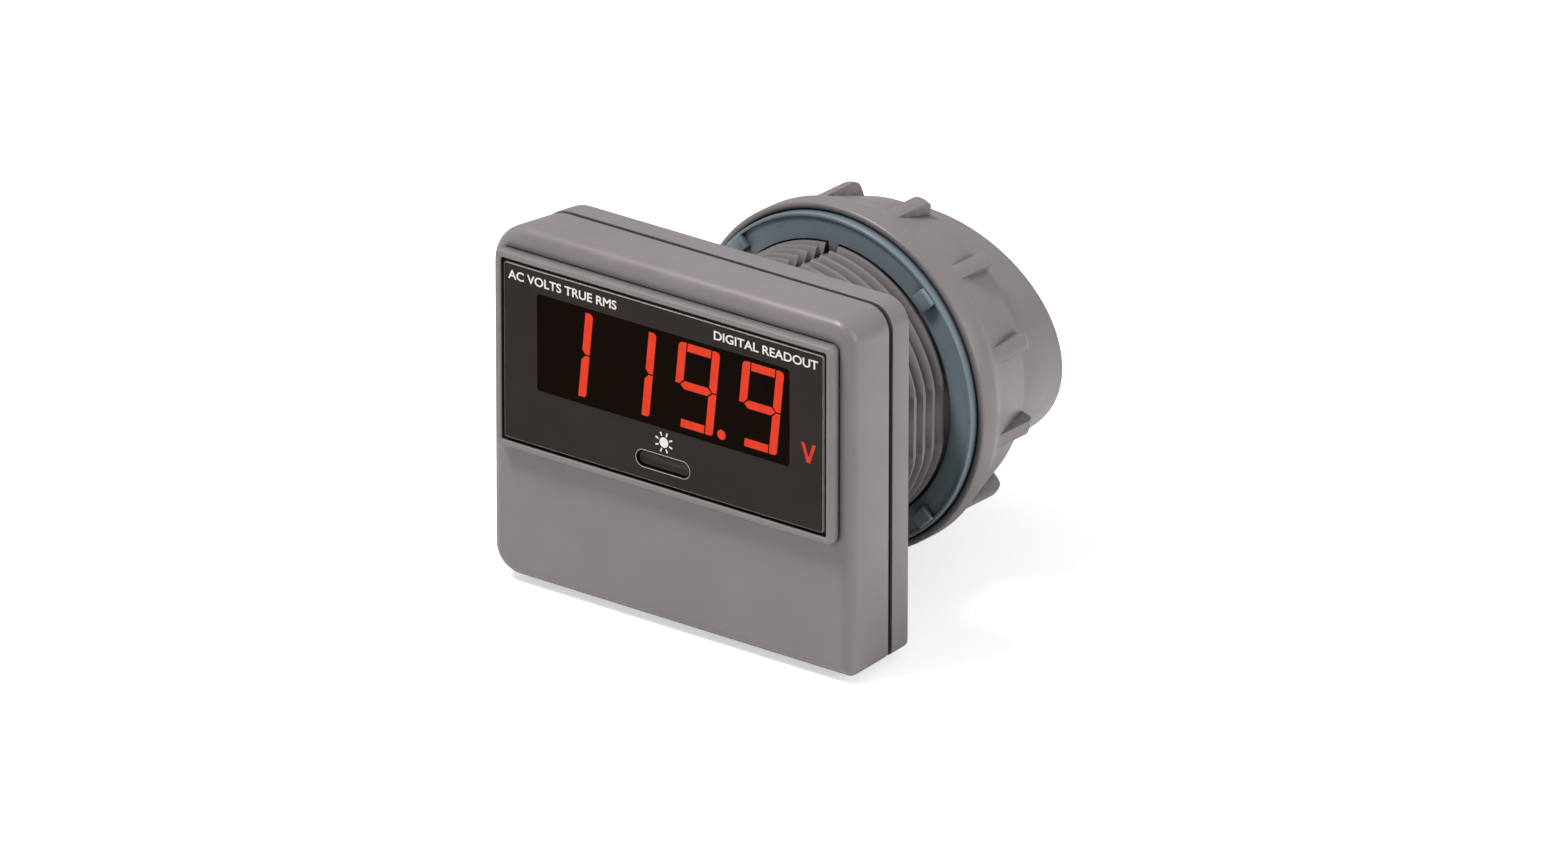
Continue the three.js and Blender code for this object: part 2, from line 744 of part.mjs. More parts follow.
function boardParts() {
  place("filter_capacitor", upright(CAPACITOR, 0, CAPACITOR.height, 24), "blue");
  place("driver_chip", standing(DRIVER_CHIP), "black");
  place("rectifier", standing(RECTIFIER), "black");
  const top = TRIM_POT.height;
  const screwWell = upright(TRIM_SCREW, top - TRIM_SCREW.depth, top + OVERRUN, 16);
  place("trim_pot", cut(standing(TRIM_POT), screwWell), "blue");
}

// ---- Washer and ring nut -------------------------------------------------------------

function panelWasher() {
  const front = WASHER_BACK - WASHER_THICKNESS;
  const rimInner = WASHER_RADIUS - WASHER_RIM_WIDTH;
  const rimFront = front - WASHER_RIM_RISE;
  const body = turned([
    [NUT_BORE, front],
    [rimInner, front],
    [rimInner, rimFront],
    [WASHER_RADIUS - WASHER_CHAMFER, rimFront],
    [WASHER_RADIUS, rimFront + WASHER_CHAMFER],
    [WASHER_RADIUS, WASHER_BACK],
    [NUT_BORE, WASHER_BACK],
  ]);
  // The tooth that rides in the barrel's slot
  const tooth = block(
    [-SLOT_WIDTH / 2 + GAP, SLOT_WIDTH / 2 - GAP],
    [front, WASHER_BACK],
    [BARREL_RADIUS - SLOT_DEPTH + GAP, NUT_BORE + OVERRUN],
  );
  const nubOuter = rimInner + NUB_OVERLAP;
  const nubs = [];
  for (let i = 0; i < NUB_COUNT; i++) {
    const nub = block(
      [-NUB_WIDTH / 2, NUB_WIDTH / 2],
      [front - NUB_RISE, front + OVERRUN],
      [nubOuter - NUB_LENGTH, nubOuter],
    );
    nubs.push(swing(nub, ((i + 0.5) / NUB_COUNT) * 2 * Math.PI));
  }
  place("panel_washer", join(body, tooth, ...nubs), "washer");
}

// One rib, standing on the nut at +Z before it is turned into place.
function rib(angle) {
  const side = new THREE.Shape();
  side.moveTo(RIB_START, RIB_RADIUS);
  side.lineTo(RIB_END - RIB_END_ROUND, RIB_RADIUS);
  side.quadraticCurveTo(RIB_END, RIB_RADIUS, RIB_END, RIB_RADIUS - RIB_END_ROUND);
  side.lineTo(RIB_END, NUT_BORE + OVERRUN);
  side.lineTo(RIB_START, NUT_BORE + OVERRUN);
  const options = { depth: RIB_WIDTH, bevelEnabled: false, curveSegments: 4 };
  const geometry = new THREE.ExtrudeGeometry(side, options);
  geometry.translate(0, 0, -RIB_WIDTH / 2);
  // The shape is drawn with the barrel's axis along X and the radius along Y.
  const axes = new THREE.Matrix4().makeBasis(
    new THREE.Vector3(0, 1, 0),
    new THREE.Vector3(0, 0, 1),
    new THREE.Vector3(1, 0, 0),
  );
  return swing(geometry.applyMatrix4(axes), angle);
}

function ringNut() {
  const lipBack = NUT_FRONT + NUT_LIP_THICKNESS;
  const body = turned([
    [NUT_BORE, NUT_FRONT],
    [NUT_COLLAR_INNER, NUT_FRONT],
    [NUT_COLLAR_INNER, NUT_COLLAR_FRONT],
    [NUT_LIP_RADIUS - NUT_LIP_CHAMFER, NUT_COLLAR_FRONT],
    [NUT_LIP_RADIUS, NUT_COLLAR_FRONT + NUT_LIP_CHAMFER],
    [NUT_LIP_RADIUS, lipBack],
    [RIB_RADIUS + NUT_SHOULDER, lipBack + NUT_SHOULDER_DEPTH],
    [RIB_RADIUS, RIB_START + OVERRUN],
    [NUT_WAIST_RADIUS, RIB_END],
    [NUT_WAIST_RADIUS - NUT_EDGE, NUT_BACK],
    [NUT_BORE, NUT_BACK],
  ]);
  const ribs = [];
  for (let i = 0; i < RIB_COUNT; i++) {
    ribs.push(rib(RIB_PHASE + (i / RIB_COUNT) * 2 * Math.PI));
  }
  place("ring_nut", join(body, ...ribs), "housing");
}

// ---- Rear cap and terminals ----------------------------------------------------------

function circleAt(y, radius) {
  const points = [];
  for (let i = 0; i < BARREL_SEGMENTS; i++) {
    const angle = (i / BARREL_SEGMENTS) * 2 * Math.PI;
    points.push(new THREE.Vector2(radius * Math.cos(angle), radius * Math.sin(angle)));
  }
  return outlineAt(y, points);
}

// Moves anything with rotateX and translate from the Y = 0 plane to the cap's end.
function ontoCapEnd(geometry) {
  return geometry.rotateX(CAP_SLOPE).rotateZ(CAP_TURN).translate(0, CAP_END_Y, CAP_END_Z);
}

// A circle parallel to the cap's sloping end, set back from it by a depth.
function slopingCircle(depth, radius) {
  const lean = new THREE.Matrix4().makeRotationX(CAP_SLOPE);
  const turn = new THREE.Matrix4().makeRotationZ(CAP_TURN);
  const centre = new THREE.Vector3(0, CAP_END_Y, CAP_END_Z);
  const points = circleAt(-depth, radius);
  return points.map((p) => p.applyMatrix4(lean).applyMatrix4(turn).add(centre));
}

function rearCap() {
  const outside = loft([
    circleAt(capFrontY, BARREL_RADIUS - GAP),
    slopingCircle(CAP_EDGE, CAP_END_RADIUS),
    slopingCircle(0, CAP_END_RADIUS - CAP_EDGE),
  ]);
  const inside = loft([
    circleAt(capFrontY - OVERRUN, spigotRadius - CAP_WALL),
    slopingCircle(CAP_WALL, CAP_END_RADIUS - CAP_WALL),
  ]);
  const spigotFrontY = BARREL_LENGTH - CAP_SPIGOT;
  const spigot = ring(
    spigotRadius - CAP_WALL,
    spigotRadius,
    spigotFrontY,
    capFrontY + OVERRUN,
    BARREL_SEGMENTS,
  );
  const posts = rodsAt(capScrewPlaces, CAP_POST_RADIUS, spigotFrontY + GAP, CAP_POST_END);
  const pastEnd = CAP_END_Y + CAP_POST_RADIUS + OVERRUN;
  const screwHoles = [
    ...rodsAt(capScrewPlaces, CAP_SHANK_HOLE_RADIUS, spigotFrontY - OVERRUN, CAP_END_Y, HEAD_SEGMENTS),
    ...rodsAt(capScrewPlaces, CAP_HEAD_HOLE_RADIUS, CAP_SCREW_SEAT, pastEnd),
  ];
  const width = TERMINAL_BLOCK_WIDTH / 2 + GAP;
  const height = TERMINAL_BLOCK_HEIGHT / 2 + GAP;
  const opening = block([-width, width], [-CAP_WALL - OVERRUN, OVERRUN], [-height, height]);
  const body = join(cut(outside, inside), spigot, ...posts);
  place("rear_cap", cut(body, ...screwHoles, ontoCapEnd(opening)), "housing");
}

// Terminals are drawn facing +Y, then laid on the cap's end.
function terminals() {
  const back = TERMINAL_BLOCK_PROUD;
  const floor = back - TERMINAL_WELL_DEPTH;
  const body = block(
    [-TERMINAL_BLOCK_WIDTH / 2, TERMINAL_BLOCK_WIDTH / 2],
    [back - TERMINAL_BLOCK_DEPTH, back],
    [-TERMINAL_BLOCK_HEIGHT / 2, TERMINAL_BLOCK_HEIGHT / 2],
  );
  const wellX = TERMINAL_WELL_WIDTH / 2;
  const wellZ = TERMINAL_WELL_HEIGHT / 2;
  const plateX = wellX - TERMINAL_PLATE_GAP;
  const plateZ = wellZ - TERMINAL_PLATE_GAP;
  const plateFront = floor + TERMINAL_PLATE_GAP;
  const plateSpan = [plateFront, plateFront + TERMINAL_PLATE_THICKNESS];
  const headY = plateSpan[1] + GAP + TERMINAL_SCREW.headHeight;
  const wells = [];
  for (let i = 0; i < TERMINAL_COUNT; i++) {
    const x = (i - (TERMINAL_COUNT - 1) / 2) * TERMINAL_PITCH;
    wells.push(block([x - wellX, x + wellX], [floor, back + OVERRUN], [-wellZ, wellZ]));
    const plate = block([x - plateX, x + plateX], plateSpan, [-plateZ, plateZ]);
    const hole = rod(
      TERMINAL_SCREW.radius + GAP,
      plateSpan[0] - OVERRUN,
      plateSpan[1] + OVERRUN,
      x,
      0,
      SHANK_SEGMENTS,
    );
    place(`terminal_plate_${i + 1}`, ontoCapEnd(cut(plate, hole)), "brass");
    place(`terminal_screw_${i + 1}`, ontoCapEnd(screw(x, 0, headY, TERMINAL_SCREW)), "steel");
  }
  place("terminal_block", ontoCapEnd(cut(body, ...wells)), "black");
}

frontBezel();
displayFrame();
displayLabel();
brightnessButton();
digits();
displayBoard();
rearHousing();
panelGasket();
placeScrews("housing_screw", housingScrewPlaces, -GAP, HOUSING_SCREW);
mainBoard();
transformer();
boardParts();
panelWasher();
ringNut();
rearCap();
placeScrews("cap_screw", capScrewPlaces, CAP_SCREW_HEAD, CAP_SCREW);
terminals();

voltmeter.position.z = -ORIGIN_HEIGHT;

export default voltmeter;
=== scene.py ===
import json
import math

import bmesh
import bpy
from mathutils import Matrix, Vector


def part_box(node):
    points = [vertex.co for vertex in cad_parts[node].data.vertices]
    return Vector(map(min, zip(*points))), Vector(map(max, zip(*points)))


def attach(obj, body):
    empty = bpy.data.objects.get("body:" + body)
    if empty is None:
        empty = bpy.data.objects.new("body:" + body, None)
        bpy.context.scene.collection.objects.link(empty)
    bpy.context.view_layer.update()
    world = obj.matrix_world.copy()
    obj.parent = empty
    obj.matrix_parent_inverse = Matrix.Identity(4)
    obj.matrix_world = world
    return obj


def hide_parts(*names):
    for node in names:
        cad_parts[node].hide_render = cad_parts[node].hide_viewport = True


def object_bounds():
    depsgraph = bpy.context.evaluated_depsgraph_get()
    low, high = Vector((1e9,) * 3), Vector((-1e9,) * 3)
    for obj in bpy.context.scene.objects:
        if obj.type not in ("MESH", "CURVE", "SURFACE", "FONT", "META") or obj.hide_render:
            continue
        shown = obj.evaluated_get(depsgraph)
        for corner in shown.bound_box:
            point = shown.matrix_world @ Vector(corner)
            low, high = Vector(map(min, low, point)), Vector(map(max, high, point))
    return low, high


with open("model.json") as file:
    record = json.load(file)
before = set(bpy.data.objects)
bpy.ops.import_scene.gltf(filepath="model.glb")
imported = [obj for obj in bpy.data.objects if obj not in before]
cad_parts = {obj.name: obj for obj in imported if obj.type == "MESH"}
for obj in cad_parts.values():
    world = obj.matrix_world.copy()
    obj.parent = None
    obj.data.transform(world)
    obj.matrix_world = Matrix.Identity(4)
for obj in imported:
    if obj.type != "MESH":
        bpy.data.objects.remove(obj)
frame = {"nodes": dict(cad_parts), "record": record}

CAD_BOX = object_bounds()
MM = 0.001

# ---- Sizes taken from the frame --------------------------------------------------------


def frame_span(node):
    """Lowest and highest corner of a CAD node in the frame, in millimetres."""
    low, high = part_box(node)
    return Vector(low) / MM, Vector(high) / MM


# The ring nut is round, so its middle gives the height of the barrel's axis.
AXIS_Z = sum(corner.z for corner in frame_span("ring_nut")) / 2


def span(node):
    """The same corners, measured from the barrel's axis."""
    return [corner - Vector((0, 0, AXIS_Z)) for corner in frame_span(node)]


BEZEL_LOW, BEZEL_HIGH = span("front_bezel")
HOUSING_LOW, HOUSING_HIGH = span("rear_housing")
FRAME_LOW, FRAME_HIGH = span("display_frame")
LABEL_LOW, LABEL_HIGH = span("label_plate")
WINDOW_LOW, WINDOW_HIGH = span("display_window")
BUTTON_LOW, BUTTON_HIGH = span("brightness_button")
WASHER_LOW, WASHER_HIGH = span("panel_washer")
NUT_LOW, NUT_HIGH = span("ring_nut")
GASKET_LOW, GASKET_HIGH = span("panel_gasket")
CAP_FRONT_Y = span("rear_cap")[0].y

FACE_Y = BEZEL_LOW.y
PLATE_FRONT_Y = HOUSING_LOW.y
BARREL_END_Y = HOUSING_HIGH.y
LABEL_Y = LABEL_LOW.y
LABEL_X = (LABEL_LOW.x + LABEL_HIGH.x) / 2
LABEL_Z = (LABEL_LOW.z + LABEL_HIGH.z) / 2
WINDOW_Z = (WINDOW_LOW.z + WINDOW_HIGH.z) / 2
BUTTON_Z = (BUTTON_LOW.z + BUTTON_HIGH.z) / 2
WASHER_RADIUS = WASHER_HIGH.x

# ---- Sizes of the looks ----------------------------------------------------------------

GAP = 0.3  # between pieces that rest against each other
OVERCUT = 1  # how far a cutter runs past what it cuts

BEZEL_CORNERS = (5.5, 9.6, 6.5, 2.2)  # from the upper right, anticlockwise
PLATE_CORNERS = (5.5, 9.0, 6.5, 2.2)
SHARPEST_CORNER = 0.2
HOUSING_EDGE = 3.0
PARTING_EDGE = 0.25  # where the bezel and the back plate meet
PLATE_EDGE = 0.35
HOUSING_TAPER = 0.07  # how far the top and sides draw in per millimetre of depth
EDGE_TAPER = HOUSING_TAPER * HOUSING_EDGE
HOUSING_WIDTH = BEZEL_HIGH.x - BEZEL_LOW.x + 2 * EDGE_TAPER
HOUSING_HEIGHT = BEZEL_HIGH.z - BEZEL_LOW.z + EDGE_TAPER
HOUSING_Z = (BEZEL_LOW.z + BEZEL_HIGH.z + EDGE_TAPER) / 2
WALL = 2.4
GROOVE_WIDTH = 1.4
GROOVE_DEPTH = 1.9
SCREW_COUNT = 4
SCREW_HEAD_HOLE = 3.0
SCREW_SHANK_HOLE = 1.6
SCREW_HOLE_FRONT_Y = -8.0
SCREW_SEAT = 0.2  # what is left under a screw's head

SEAT_GAP = 0.25  # round the display's frame
SEAT_CORNER = 1.8
SEAT_DIP = 0.02
WINDOW_CORNER = 0.75
WINDOW_GAP = 0.05
WINDOW_EDGE = 0.1
WINDOW_EDGE_DEPTH = 0.08
WINDOW_INSET = 0.04  # behind the label's front
LEDGE_SIDE = 0.7  # how far the bezel reaches in behind the window at its sides
LEDGE_TOP = 0.2
# The frame's ridge, from its outer edge inwards: how far each point lies behind the
# front, how far in from the outline, and the corner radius there.
RIDGE = [
    (0.75, 0.0, 1.3),
    (0.3, 0.12, 1.25),
    (0.06, 0.29, 1.15),
    (0.0, 0.47, 1.1),
    (0.1, 1.3, 0.6),
    (0.3, 1.5, 0.5),
]
LABEL_CORNER = 0.3
LABEL_BORDER = 0.55  # the width of the step at the label's edge
LABEL_STEP = 0.5
LABEL_STEP_CORNER = 0.6
LAP = 0.02  # how far a cut edge sinks into the film
LABEL_EDGE = 0.13
LABEL_EDGE_RISE = 0.03
BUTTON_EDGE = 0.15
BUTTON_EDGE_RISE = 0.06
BUTTON_EDGE_BEVEL = 0.04

BUTTON_FLANGE = 1.4
BUTTON_FLANGE_DEPTH = 1.0
BUTTON_FLANGE_CORNER = 1.5
BUTTON_CAP_WIDTH = BUTTON_HIGH.x - BUTTON_LOW.x - 2 * BUTTON_FLANGE
BUTTON_CAP_HEIGHT = BUTTON_HIGH.z - BUTTON_LOW.z - 2 * BUTTON_FLANGE
# The button's face, from its dished middle outwards: how far behind the front, how far in.
BUTTON_FACE = [(0.45, 1.2), (0.35, 0.9), (0.12, 0.5), (0.0, 0.3), (0.05, 0.12), (0.2, 0.0)]

THREAD_PITCH = 3.175
THREAD_DEPTH = 2.3
THREAD_RADIUS = 31.2
THREAD_FRONT_Y = -0.8
THREAD_RUNOUT = 1.2  # how far before its end the thread fades out
THREAD_RUNOUT_LEVEL = 0.8
# One turn of the thread: how far along the pitch, and how deep.
THREAD_PROFILE = [
    (0.0, 0.0), (0.14, 0.0), (0.22, 0.12), (0.46, 0.9),
    (0.54, 1.0), (0.62, 1.0), (0.70, 0.9), (0.93, 0.12),
]
BARREL_BORE = 27.5
FLAT_HALF_WIDTH = 30.2
SLOT_WIDTH = 3.4
SLOT_DEPTH = 2.3
SLOT_FRONT_Y = 2
GASKET_INNER = 33.0

WASHER_THICKNESS = 3.4
WASHER_RIM_WIDTH = 0.75
WASHER_RIM_HEIGHT = 0.5
PAD_COUNT = 4
PAD_HALF_WIDTH = 2.1
PAD_LENGTH = 3.2
PAD_OVERLAP = 0.3
PAD_ROUNDING = 0.35
TOOTH_INSET = 0.05
TOOTH_ROUNDING = 0.2
ROOT = 1  # how deep the tooth and the pads reach into the ring

NUT_COLLAR = 2.3  # how far the nut's collar stands forward round the washer
NUT_LIP = 2.2  # how far the lip runs back from the washer's seat
NUT_NECK = 3.2  # where the cone starts, behind the seat
NUT_FLARE = 2.6  # how far the lip's curve runs on behind the neck
NUT_FLARE_POWER = 2.4
NUT_WAIST_RADIUS = 34.2
RIB_COUNT = 12
RIB_RADIUS = 38.1
RIB_HALF_WIDTH = 1.55
RIB_CROWN = 0.25
RIB_ROUNDING = 2.4
RIB_SIDE_SLOPE = 22
RIB_END_SLOPE = 14
RIB_END_Y = NUT_HIGH.y - 0.7
RIB_PHASE = math.radians(12.3)
RIB_BLEND = 0.2
CONE_RADIUS = RIB_RADIUS + 0.6  # the cone's front end
MEAN_NUT_RADIUS = 35

CAP_END_RADIUS = 30.5
CAP_END = Vector((0, 72.8, 2.0))
# The cap's end leans upwards, and a little to the left as seen from the front.
CAP_LEAN = Matrix.Rotation(math.radians(4.4), 3, "Z") @ Matrix.Rotation(math.radians(16.8), 3, "X")
CAP_WALL = 2.2
CAP_EDGE = 0.9
CAP_SCREW_COUNT = 2
CAP_POST_RADIUS = 3.4
CAP_SHANK_HOLE = 1.8
CAP_HEAD_HOLE = 3.0
CAP_HEAD_HEIGHT = 2
CAP_POST_STOP = 4  # how far short of the end's middle a post stops
TERMINAL_WIDTH = 31.0
TERMINAL_HEIGHT = 14.0

READING = "1199"
POINT_PLACE = 2  # the digit that the decimal point follows
DIGIT_WIDTH = 11.0
DIGIT_HEIGHT = 19.4
DIGIT_STROKE = 2.05
DIGIT_GAP = 0.16
DIGIT_SLANT = math.tan(math.radians(6))
DIGIT_PITCH = 17.03
DIGIT_FOOT_Z = -5.6
LAST_DIGIT_LEFT = 19.37
POINT_RADIUS = 1.12
POINT_OFFSET = (2.35, 0.95)  # from the digit's lower right corner
LED_INSET = 0.01  # behind the label's front
LED_THICKNESS = 0.1
# The lit segments of each digit, lettered clockwise from the top, with g in the middle.
SEGMENTS = {"1": "bc", "9": "abcdfg"}

UNIT_X = 38.9
UNIT_Z = -5.05
UNIT_HALF_WIDTH = 1.95
UNIT_HEIGHT = 4.4
UNIT_STROKE = 0.85
UNIT_NOTCH = 1.25

SUN_X = 0.3
SUN_Z = -10.4
SUN_RADIUS = 1.17
SUN_RAYS = 8
RAY_START = 1.5
RAY_END = 2.4
RAY_HALF_WIDTH_START = 0.15
RAY_HALF_WIDTH_END = 0.21

PRINT_RISE = 0.03
PRINT_THICKNESS = 0.05
LEGEND_THICKNESS = 0.03
LEGEND_WEIGHT = 0.016
LEGEND_HEIGHT = 2.05
LEGEND_DROP = 3.95  # from the label's top to the words' foot
LEFT_LEGEND_MARGIN = 1.6
LEFT_LEGEND_WIDTH = 29.2
RIGHT_LEGEND_MARGIN = 1.8
RIGHT_LEGEND_WIDTH = 27.7

# ---- Mesh tools ------------------------------------------------------------------------


def new_object(name, vertices, faces, smooth_angle=35):
    """A mesh object from points in millimetres, shaded smooth up to an angle."""
    mesh = bpy.data.meshes.new(name)
    mesh.from_pydata([Vector(v) * MM for v in vertices], [], faces)
    piece = link_object(name, mesh)
    tidy(piece, smooth_angle)
    return piece


def link_object(name, data):
    piece = bpy.data.objects.new(name, data)
    bpy.context.scene.collection.objects.link(piece)
    return piece


def tidy(piece, smooth_angle=35):
    """Merges doubles, turns the faces outward and sets the shading."""
    work = bmesh.new()
    work.from_mesh(piece.data)
    bmesh.ops.remove_doubles(work, verts=work.verts, dist=0.002 * MM)
    bmesh.ops.dissolve_degenerate(work, edges=work.edges, dist=0.001 * MM)
    bmesh.ops.recalc_face_normals(work, faces=work.faces)
    work.to_mesh(piece.data)
    work.free()
    piece.data.shade_smooth()
    piece.data.set_sharp_from_angle(angle=math.radians(smooth_angle))


def evaluated_mesh(piece):
    graph = bpy.context.evaluated_depsgraph_get()
    return bpy.data.meshes.new_from_object(piece.evaluated_get(graph))


def apply_modifiers(piece):
    """Bakes a piece's modifiers into its mesh."""
    mesh = evaluated_mesh(piece)
    piece.modifiers.clear()
    piece.data = mesh


def combine(piece, tool, operation):
    """Cuts tool out of piece, or adds it, and removes tool."""
    step = piece.modifiers.new("step", "BOOLEAN")
    step.operation = operation
    step.solver = "EXACT"
    step.object = tool
    apply_modifiers(piece)
    bpy.data.objects.remove(tool)
    tidy(piece)


def carve(piece, *tools):
    for tool in tools:
        combine(piece, tool, "DIFFERENCE")


def weld(piece, *tools):
    for tool in tools:
        combine(piece, tool, "UNION")


def soften(piece, width):
    """Rounds a piece's sharp edges."""
    bevel = piece.modifiers.new("soften", "BEVEL")
    bevel.width = width * MM
    bevel.segments = 3
    bevel.limit_method = "ANGLE"
    bevel.angle_limit = math.radians(40)
    apply_modifiers(piece)
    tidy(piece)


def arc_steps(steps):
    """Angles over a quarter turn, both ends included."""
    return [math.pi / 2 * i / steps for i in range(steps + 1)]


def rounded_rectangle(width, height, radius, steps=10, centre=(0, 0)):
    """Outline points (x, z), anticlockwise as seen from the front. The corners share one
    radius, or have one each, from the upper right."""
    points = []
    radii = radius if isinstance(radius, (list, tuple)) else [radius] * 4
    for corner, (sx, sz) in enumerate([(1, 1), (-1, 1), (-1, -1), (1, -1)]):
        r = radii[corner]
        for i in range(steps + 1):
            angle = (corner + i / steps) * math.pi / 2
            x = centre[0] + sx * (width / 2 - r) + r * math.cos(angle)
            z = centre[1] + sz * (height / 2 - r) + r * math.sin(angle)
            points.append((x, z))
    return points


def node_outline(node, inset, corner, steps=10):
    """A CAD node's box as seen from the front, drawn in by an inset."""
    low, high = span(node)
    width = high.x - low.x - 2 * inset
    height = high.z - low.z - 2 * inset
    return rounded_rectangle(width, height, corner, steps, ((low.x + high.x) / 2, (low.z + high.z) / 2))


def circle(radius, count, centre=(0, 0), phase=0):
    """Outline points (x, z). The phase is in parts of one step."""
    points = []
    for i in range(count):
        angle = 2 * math.pi * (i + phase) / count
        points.append((centre[0] + radius * math.cos(angle), centre[1] + radius * math.sin(angle)))
    return points


def skinned(name, rings, closed=False, smooth_angle=35):
    """A skin through rings of points. A closed one joins its last ring to its first."""
    count = len(rings[0])
    vertices = [point for ring in rings for point in ring]
    faces = []
    for r in range(len(rings) if closed else len(rings) - 1):
        here = r * count
        there = ((r + 1) % len(rings)) * count
        for i in range(count):
            j = (i + 1) % count
            faces.append((here + i, here + j, there + j, there + i))
    if not closed:
        faces.append(tuple(range(count)))
        faces.append(tuple(range((len(rings) - 1) * count, len(rings) * count)))
    return new_object(name, vertices, faces, smooth_angle)


def lofted(name, sections, closed=False, smooth_angle=35):
    """A skin through flat sections of (y, outline)."""
    rings = [[(x, y, z) for x, z in outline] for y, outline in sections]
    return skinned(name, rings, closed, smooth_angle)


def around_barrel(angle, profile):
    """A profile of (radius, y) stood up at an angle from +Z towards +X."""
    return [(r * math.sin(angle), y, r * math.cos(angle)) for r, y in profile]


def turned(name, profile, count=144):
    """A closed profile of (radius, y) turned about the barrel's axis."""
    rings = [around_barrel(2 * math.pi * i / count, profile) for i in range(count)]
    return skinned(name, rings, closed=True)


def filleted(corners, steps=5):
    """Rounds a closed profile. Each corner is (radius, y, rounding)."""
    points = []
    count = len(corners)
    for i, (r, y, rounding) in enumerate(corners):
        here = Vector((r, y))
        before = Vector(corners[i - 1][:2])
        after = Vector(corners[(i + 1) % count][:2])
        to_before = (before - here).normalized()
        to_after = (after - here).normalized()
        reach = rounding / math.tan(to_before.angle(to_after) / 2)
        start = here + to_before * reach
        end = here + to_after * reach
        for k in range(steps + 1):
            t = k / steps
            # A quadratic curve stands in for the arc, as it is close to it and short.
            points.append(start * (1 - t) ** 2 + here * 2 * t * (1 - t) + end * t**2)
    return [(p.x, p.y) for p in points]


def rod(name, radius, y_front, y_back, x=0, z=0, count=48):
    """A plain round cutter or peg along Y."""
    outline = circle(radius, count, (x, z))
    return lofted(name, [(y_front, outline), (y_back, outline)])


def brick(name, low, high):
    """A plain box from two corners."""
    outline = [(high[0], high[2]), (low[0], high[2]), (low[0], low[2]), (high[0], low[2])]
    return lofted(name, [(low[1], outline), (high[1], outline)])


# ---- Materials -------------------------------------------------------------------------

GAP_REACH = 2.5  # how wide a gap still darkens its walls
GAP_LEVELS = (0.28, 0.88)  # how open a surface is where the shade is full, and where it ends


def linear(colour):
    """sRGB 0-255 to linear 0-1 with alpha."""
    values = []
    for c in colour:
        c /= 255
        values.append(c / 12.92 if c <= 0.04045 else ((c + 0.055) / 1.055) ** 2.4)
    return (*values, 1)


def scaled(colour, factor):
    return tuple(min(1, c * factor) for c in colour[:3]) + (1,)


class Wiring:
    """Adds and links the nodes of a material or a world."""

    def __init__(self, tree):
        self.tree = tree

    def node(self, kind, **inputs):
        made = self.tree.nodes.new(kind)
        for key, value in inputs.items():
            made.inputs[key].default_value = value
        return made

    def link(self, source, target):
        self.tree.links.new(source, target)

    def remap(self, source, from_range, to_range):
        """Maps one range to another, and holds its ends beyond it."""
        ramp = self.node("ShaderNodeMapRange")
        ramp.inputs["From Min"].default_value = from_range[0]
        ramp.inputs["From Max"].default_value = from_range[1]
        ramp.inputs["To Min"].default_value = to_range[0]
        ramp.inputs["To Max"].default_value = to_range[1]
        self.link(source, ramp.inputs["Value"])
        return ramp.outputs["Result"]

    def mix(self, factor, first, second):
        mix = self.node("ShaderNodeMix")
        mix.data_type = "RGBA"
        mix.inputs["A"].default_value = first
        mix.inputs["B"].default_value = second
        self.link(factor, mix.inputs["Factor"])
        return mix.outputs["Result"]


class Recipe(Wiring):
    """A material with the object's own coordinates wired up."""

    def __init__(self, name):
        self.material = bpy.data.materials.new(name)
        self.material.use_nodes = True
        super().__init__(self.material.node_tree)
        self.shader = self.tree.nodes["Principled BSDF"]
        self.place = self.node("ShaderNodeTexCoord").outputs["Object"]

    def wire(self, source, socket):
        self.link(source, self.shader.inputs[socket])

    def set(self, socket, value):
        self.shader.inputs[socket].default_value = value

    def noise(self, scale, detail):
        noise = self.node("ShaderNodeTexNoise", Scale=scale, Detail=detail)
        self.link(self.place, noise.inputs["Vector"])
        return noise.outputs["Fac"]

    def spread(self, noise, low, high):
        """Spreads a noise, which keeps near its middle, over a range."""
        return self.remap(noise, (0.3, 0.7), (low, high))

    def shaded(self, colour, darkest):
        """Darkens a colour where the surface lies in a narrow gap or a corner: painted shade."""
        gap = self.node("ShaderNodeAmbientOcclusion", Distance=GAP_REACH * MM)
        gap.samples = 8
        level = self.remap(gap.outputs["AO"], GAP_LEVELS, (darkest, 1))
        tint = self.node("ShaderNodeMix")
        tint.data_type = "RGBA"
        tint.blend_type = "MULTIPLY"
        tint.inputs["Factor"].default_value = 1
        self.link(colour, tint.inputs["A"])
        self.link(level, tint.inputs["B"])
        return tint.outputs["Result"]

    def bump(self, source, depth_mm):
        bump = self.node("ShaderNodeBump", Strength=1, Distance=depth_mm * MM)
        self.link(source, bump.inputs["Height"])
        self.wire(bump.outputs["Normal"], "Normal")


def moulded(name, colour, roughness=0.5, tint=0.05, grain=2600, depth=0.012, specular=0.3,
            darkest=0.15):
    """Moulded plastic: a faint cloud in the colour, a fine spark-eroded grain in the surface, and painted
    shade in its gaps and corners.
    """
    recipe = Recipe(name)
    base = linear(colour)
    cloud = recipe.spread(recipe.noise(45, 4), 0, 1)
    clouded = recipe.mix(cloud, scaled(base, 1 - tint), scaled(base, 1 + tint))
    # Painted shade: the colour is darkened where the surface lies in a gap, a corner or a thread's valley.
    recipe.wire(recipe.shaded(clouded, darkest), "Base Color")
    recipe.wire(recipe.spread(recipe.noise(160, 4), roughness - 0.05, roughness + 0.05), "Roughness")
    recipe.set("Specular IOR Level", specular)
    recipe.bump(recipe.noise(grain, 2), depth)
    return recipe.material


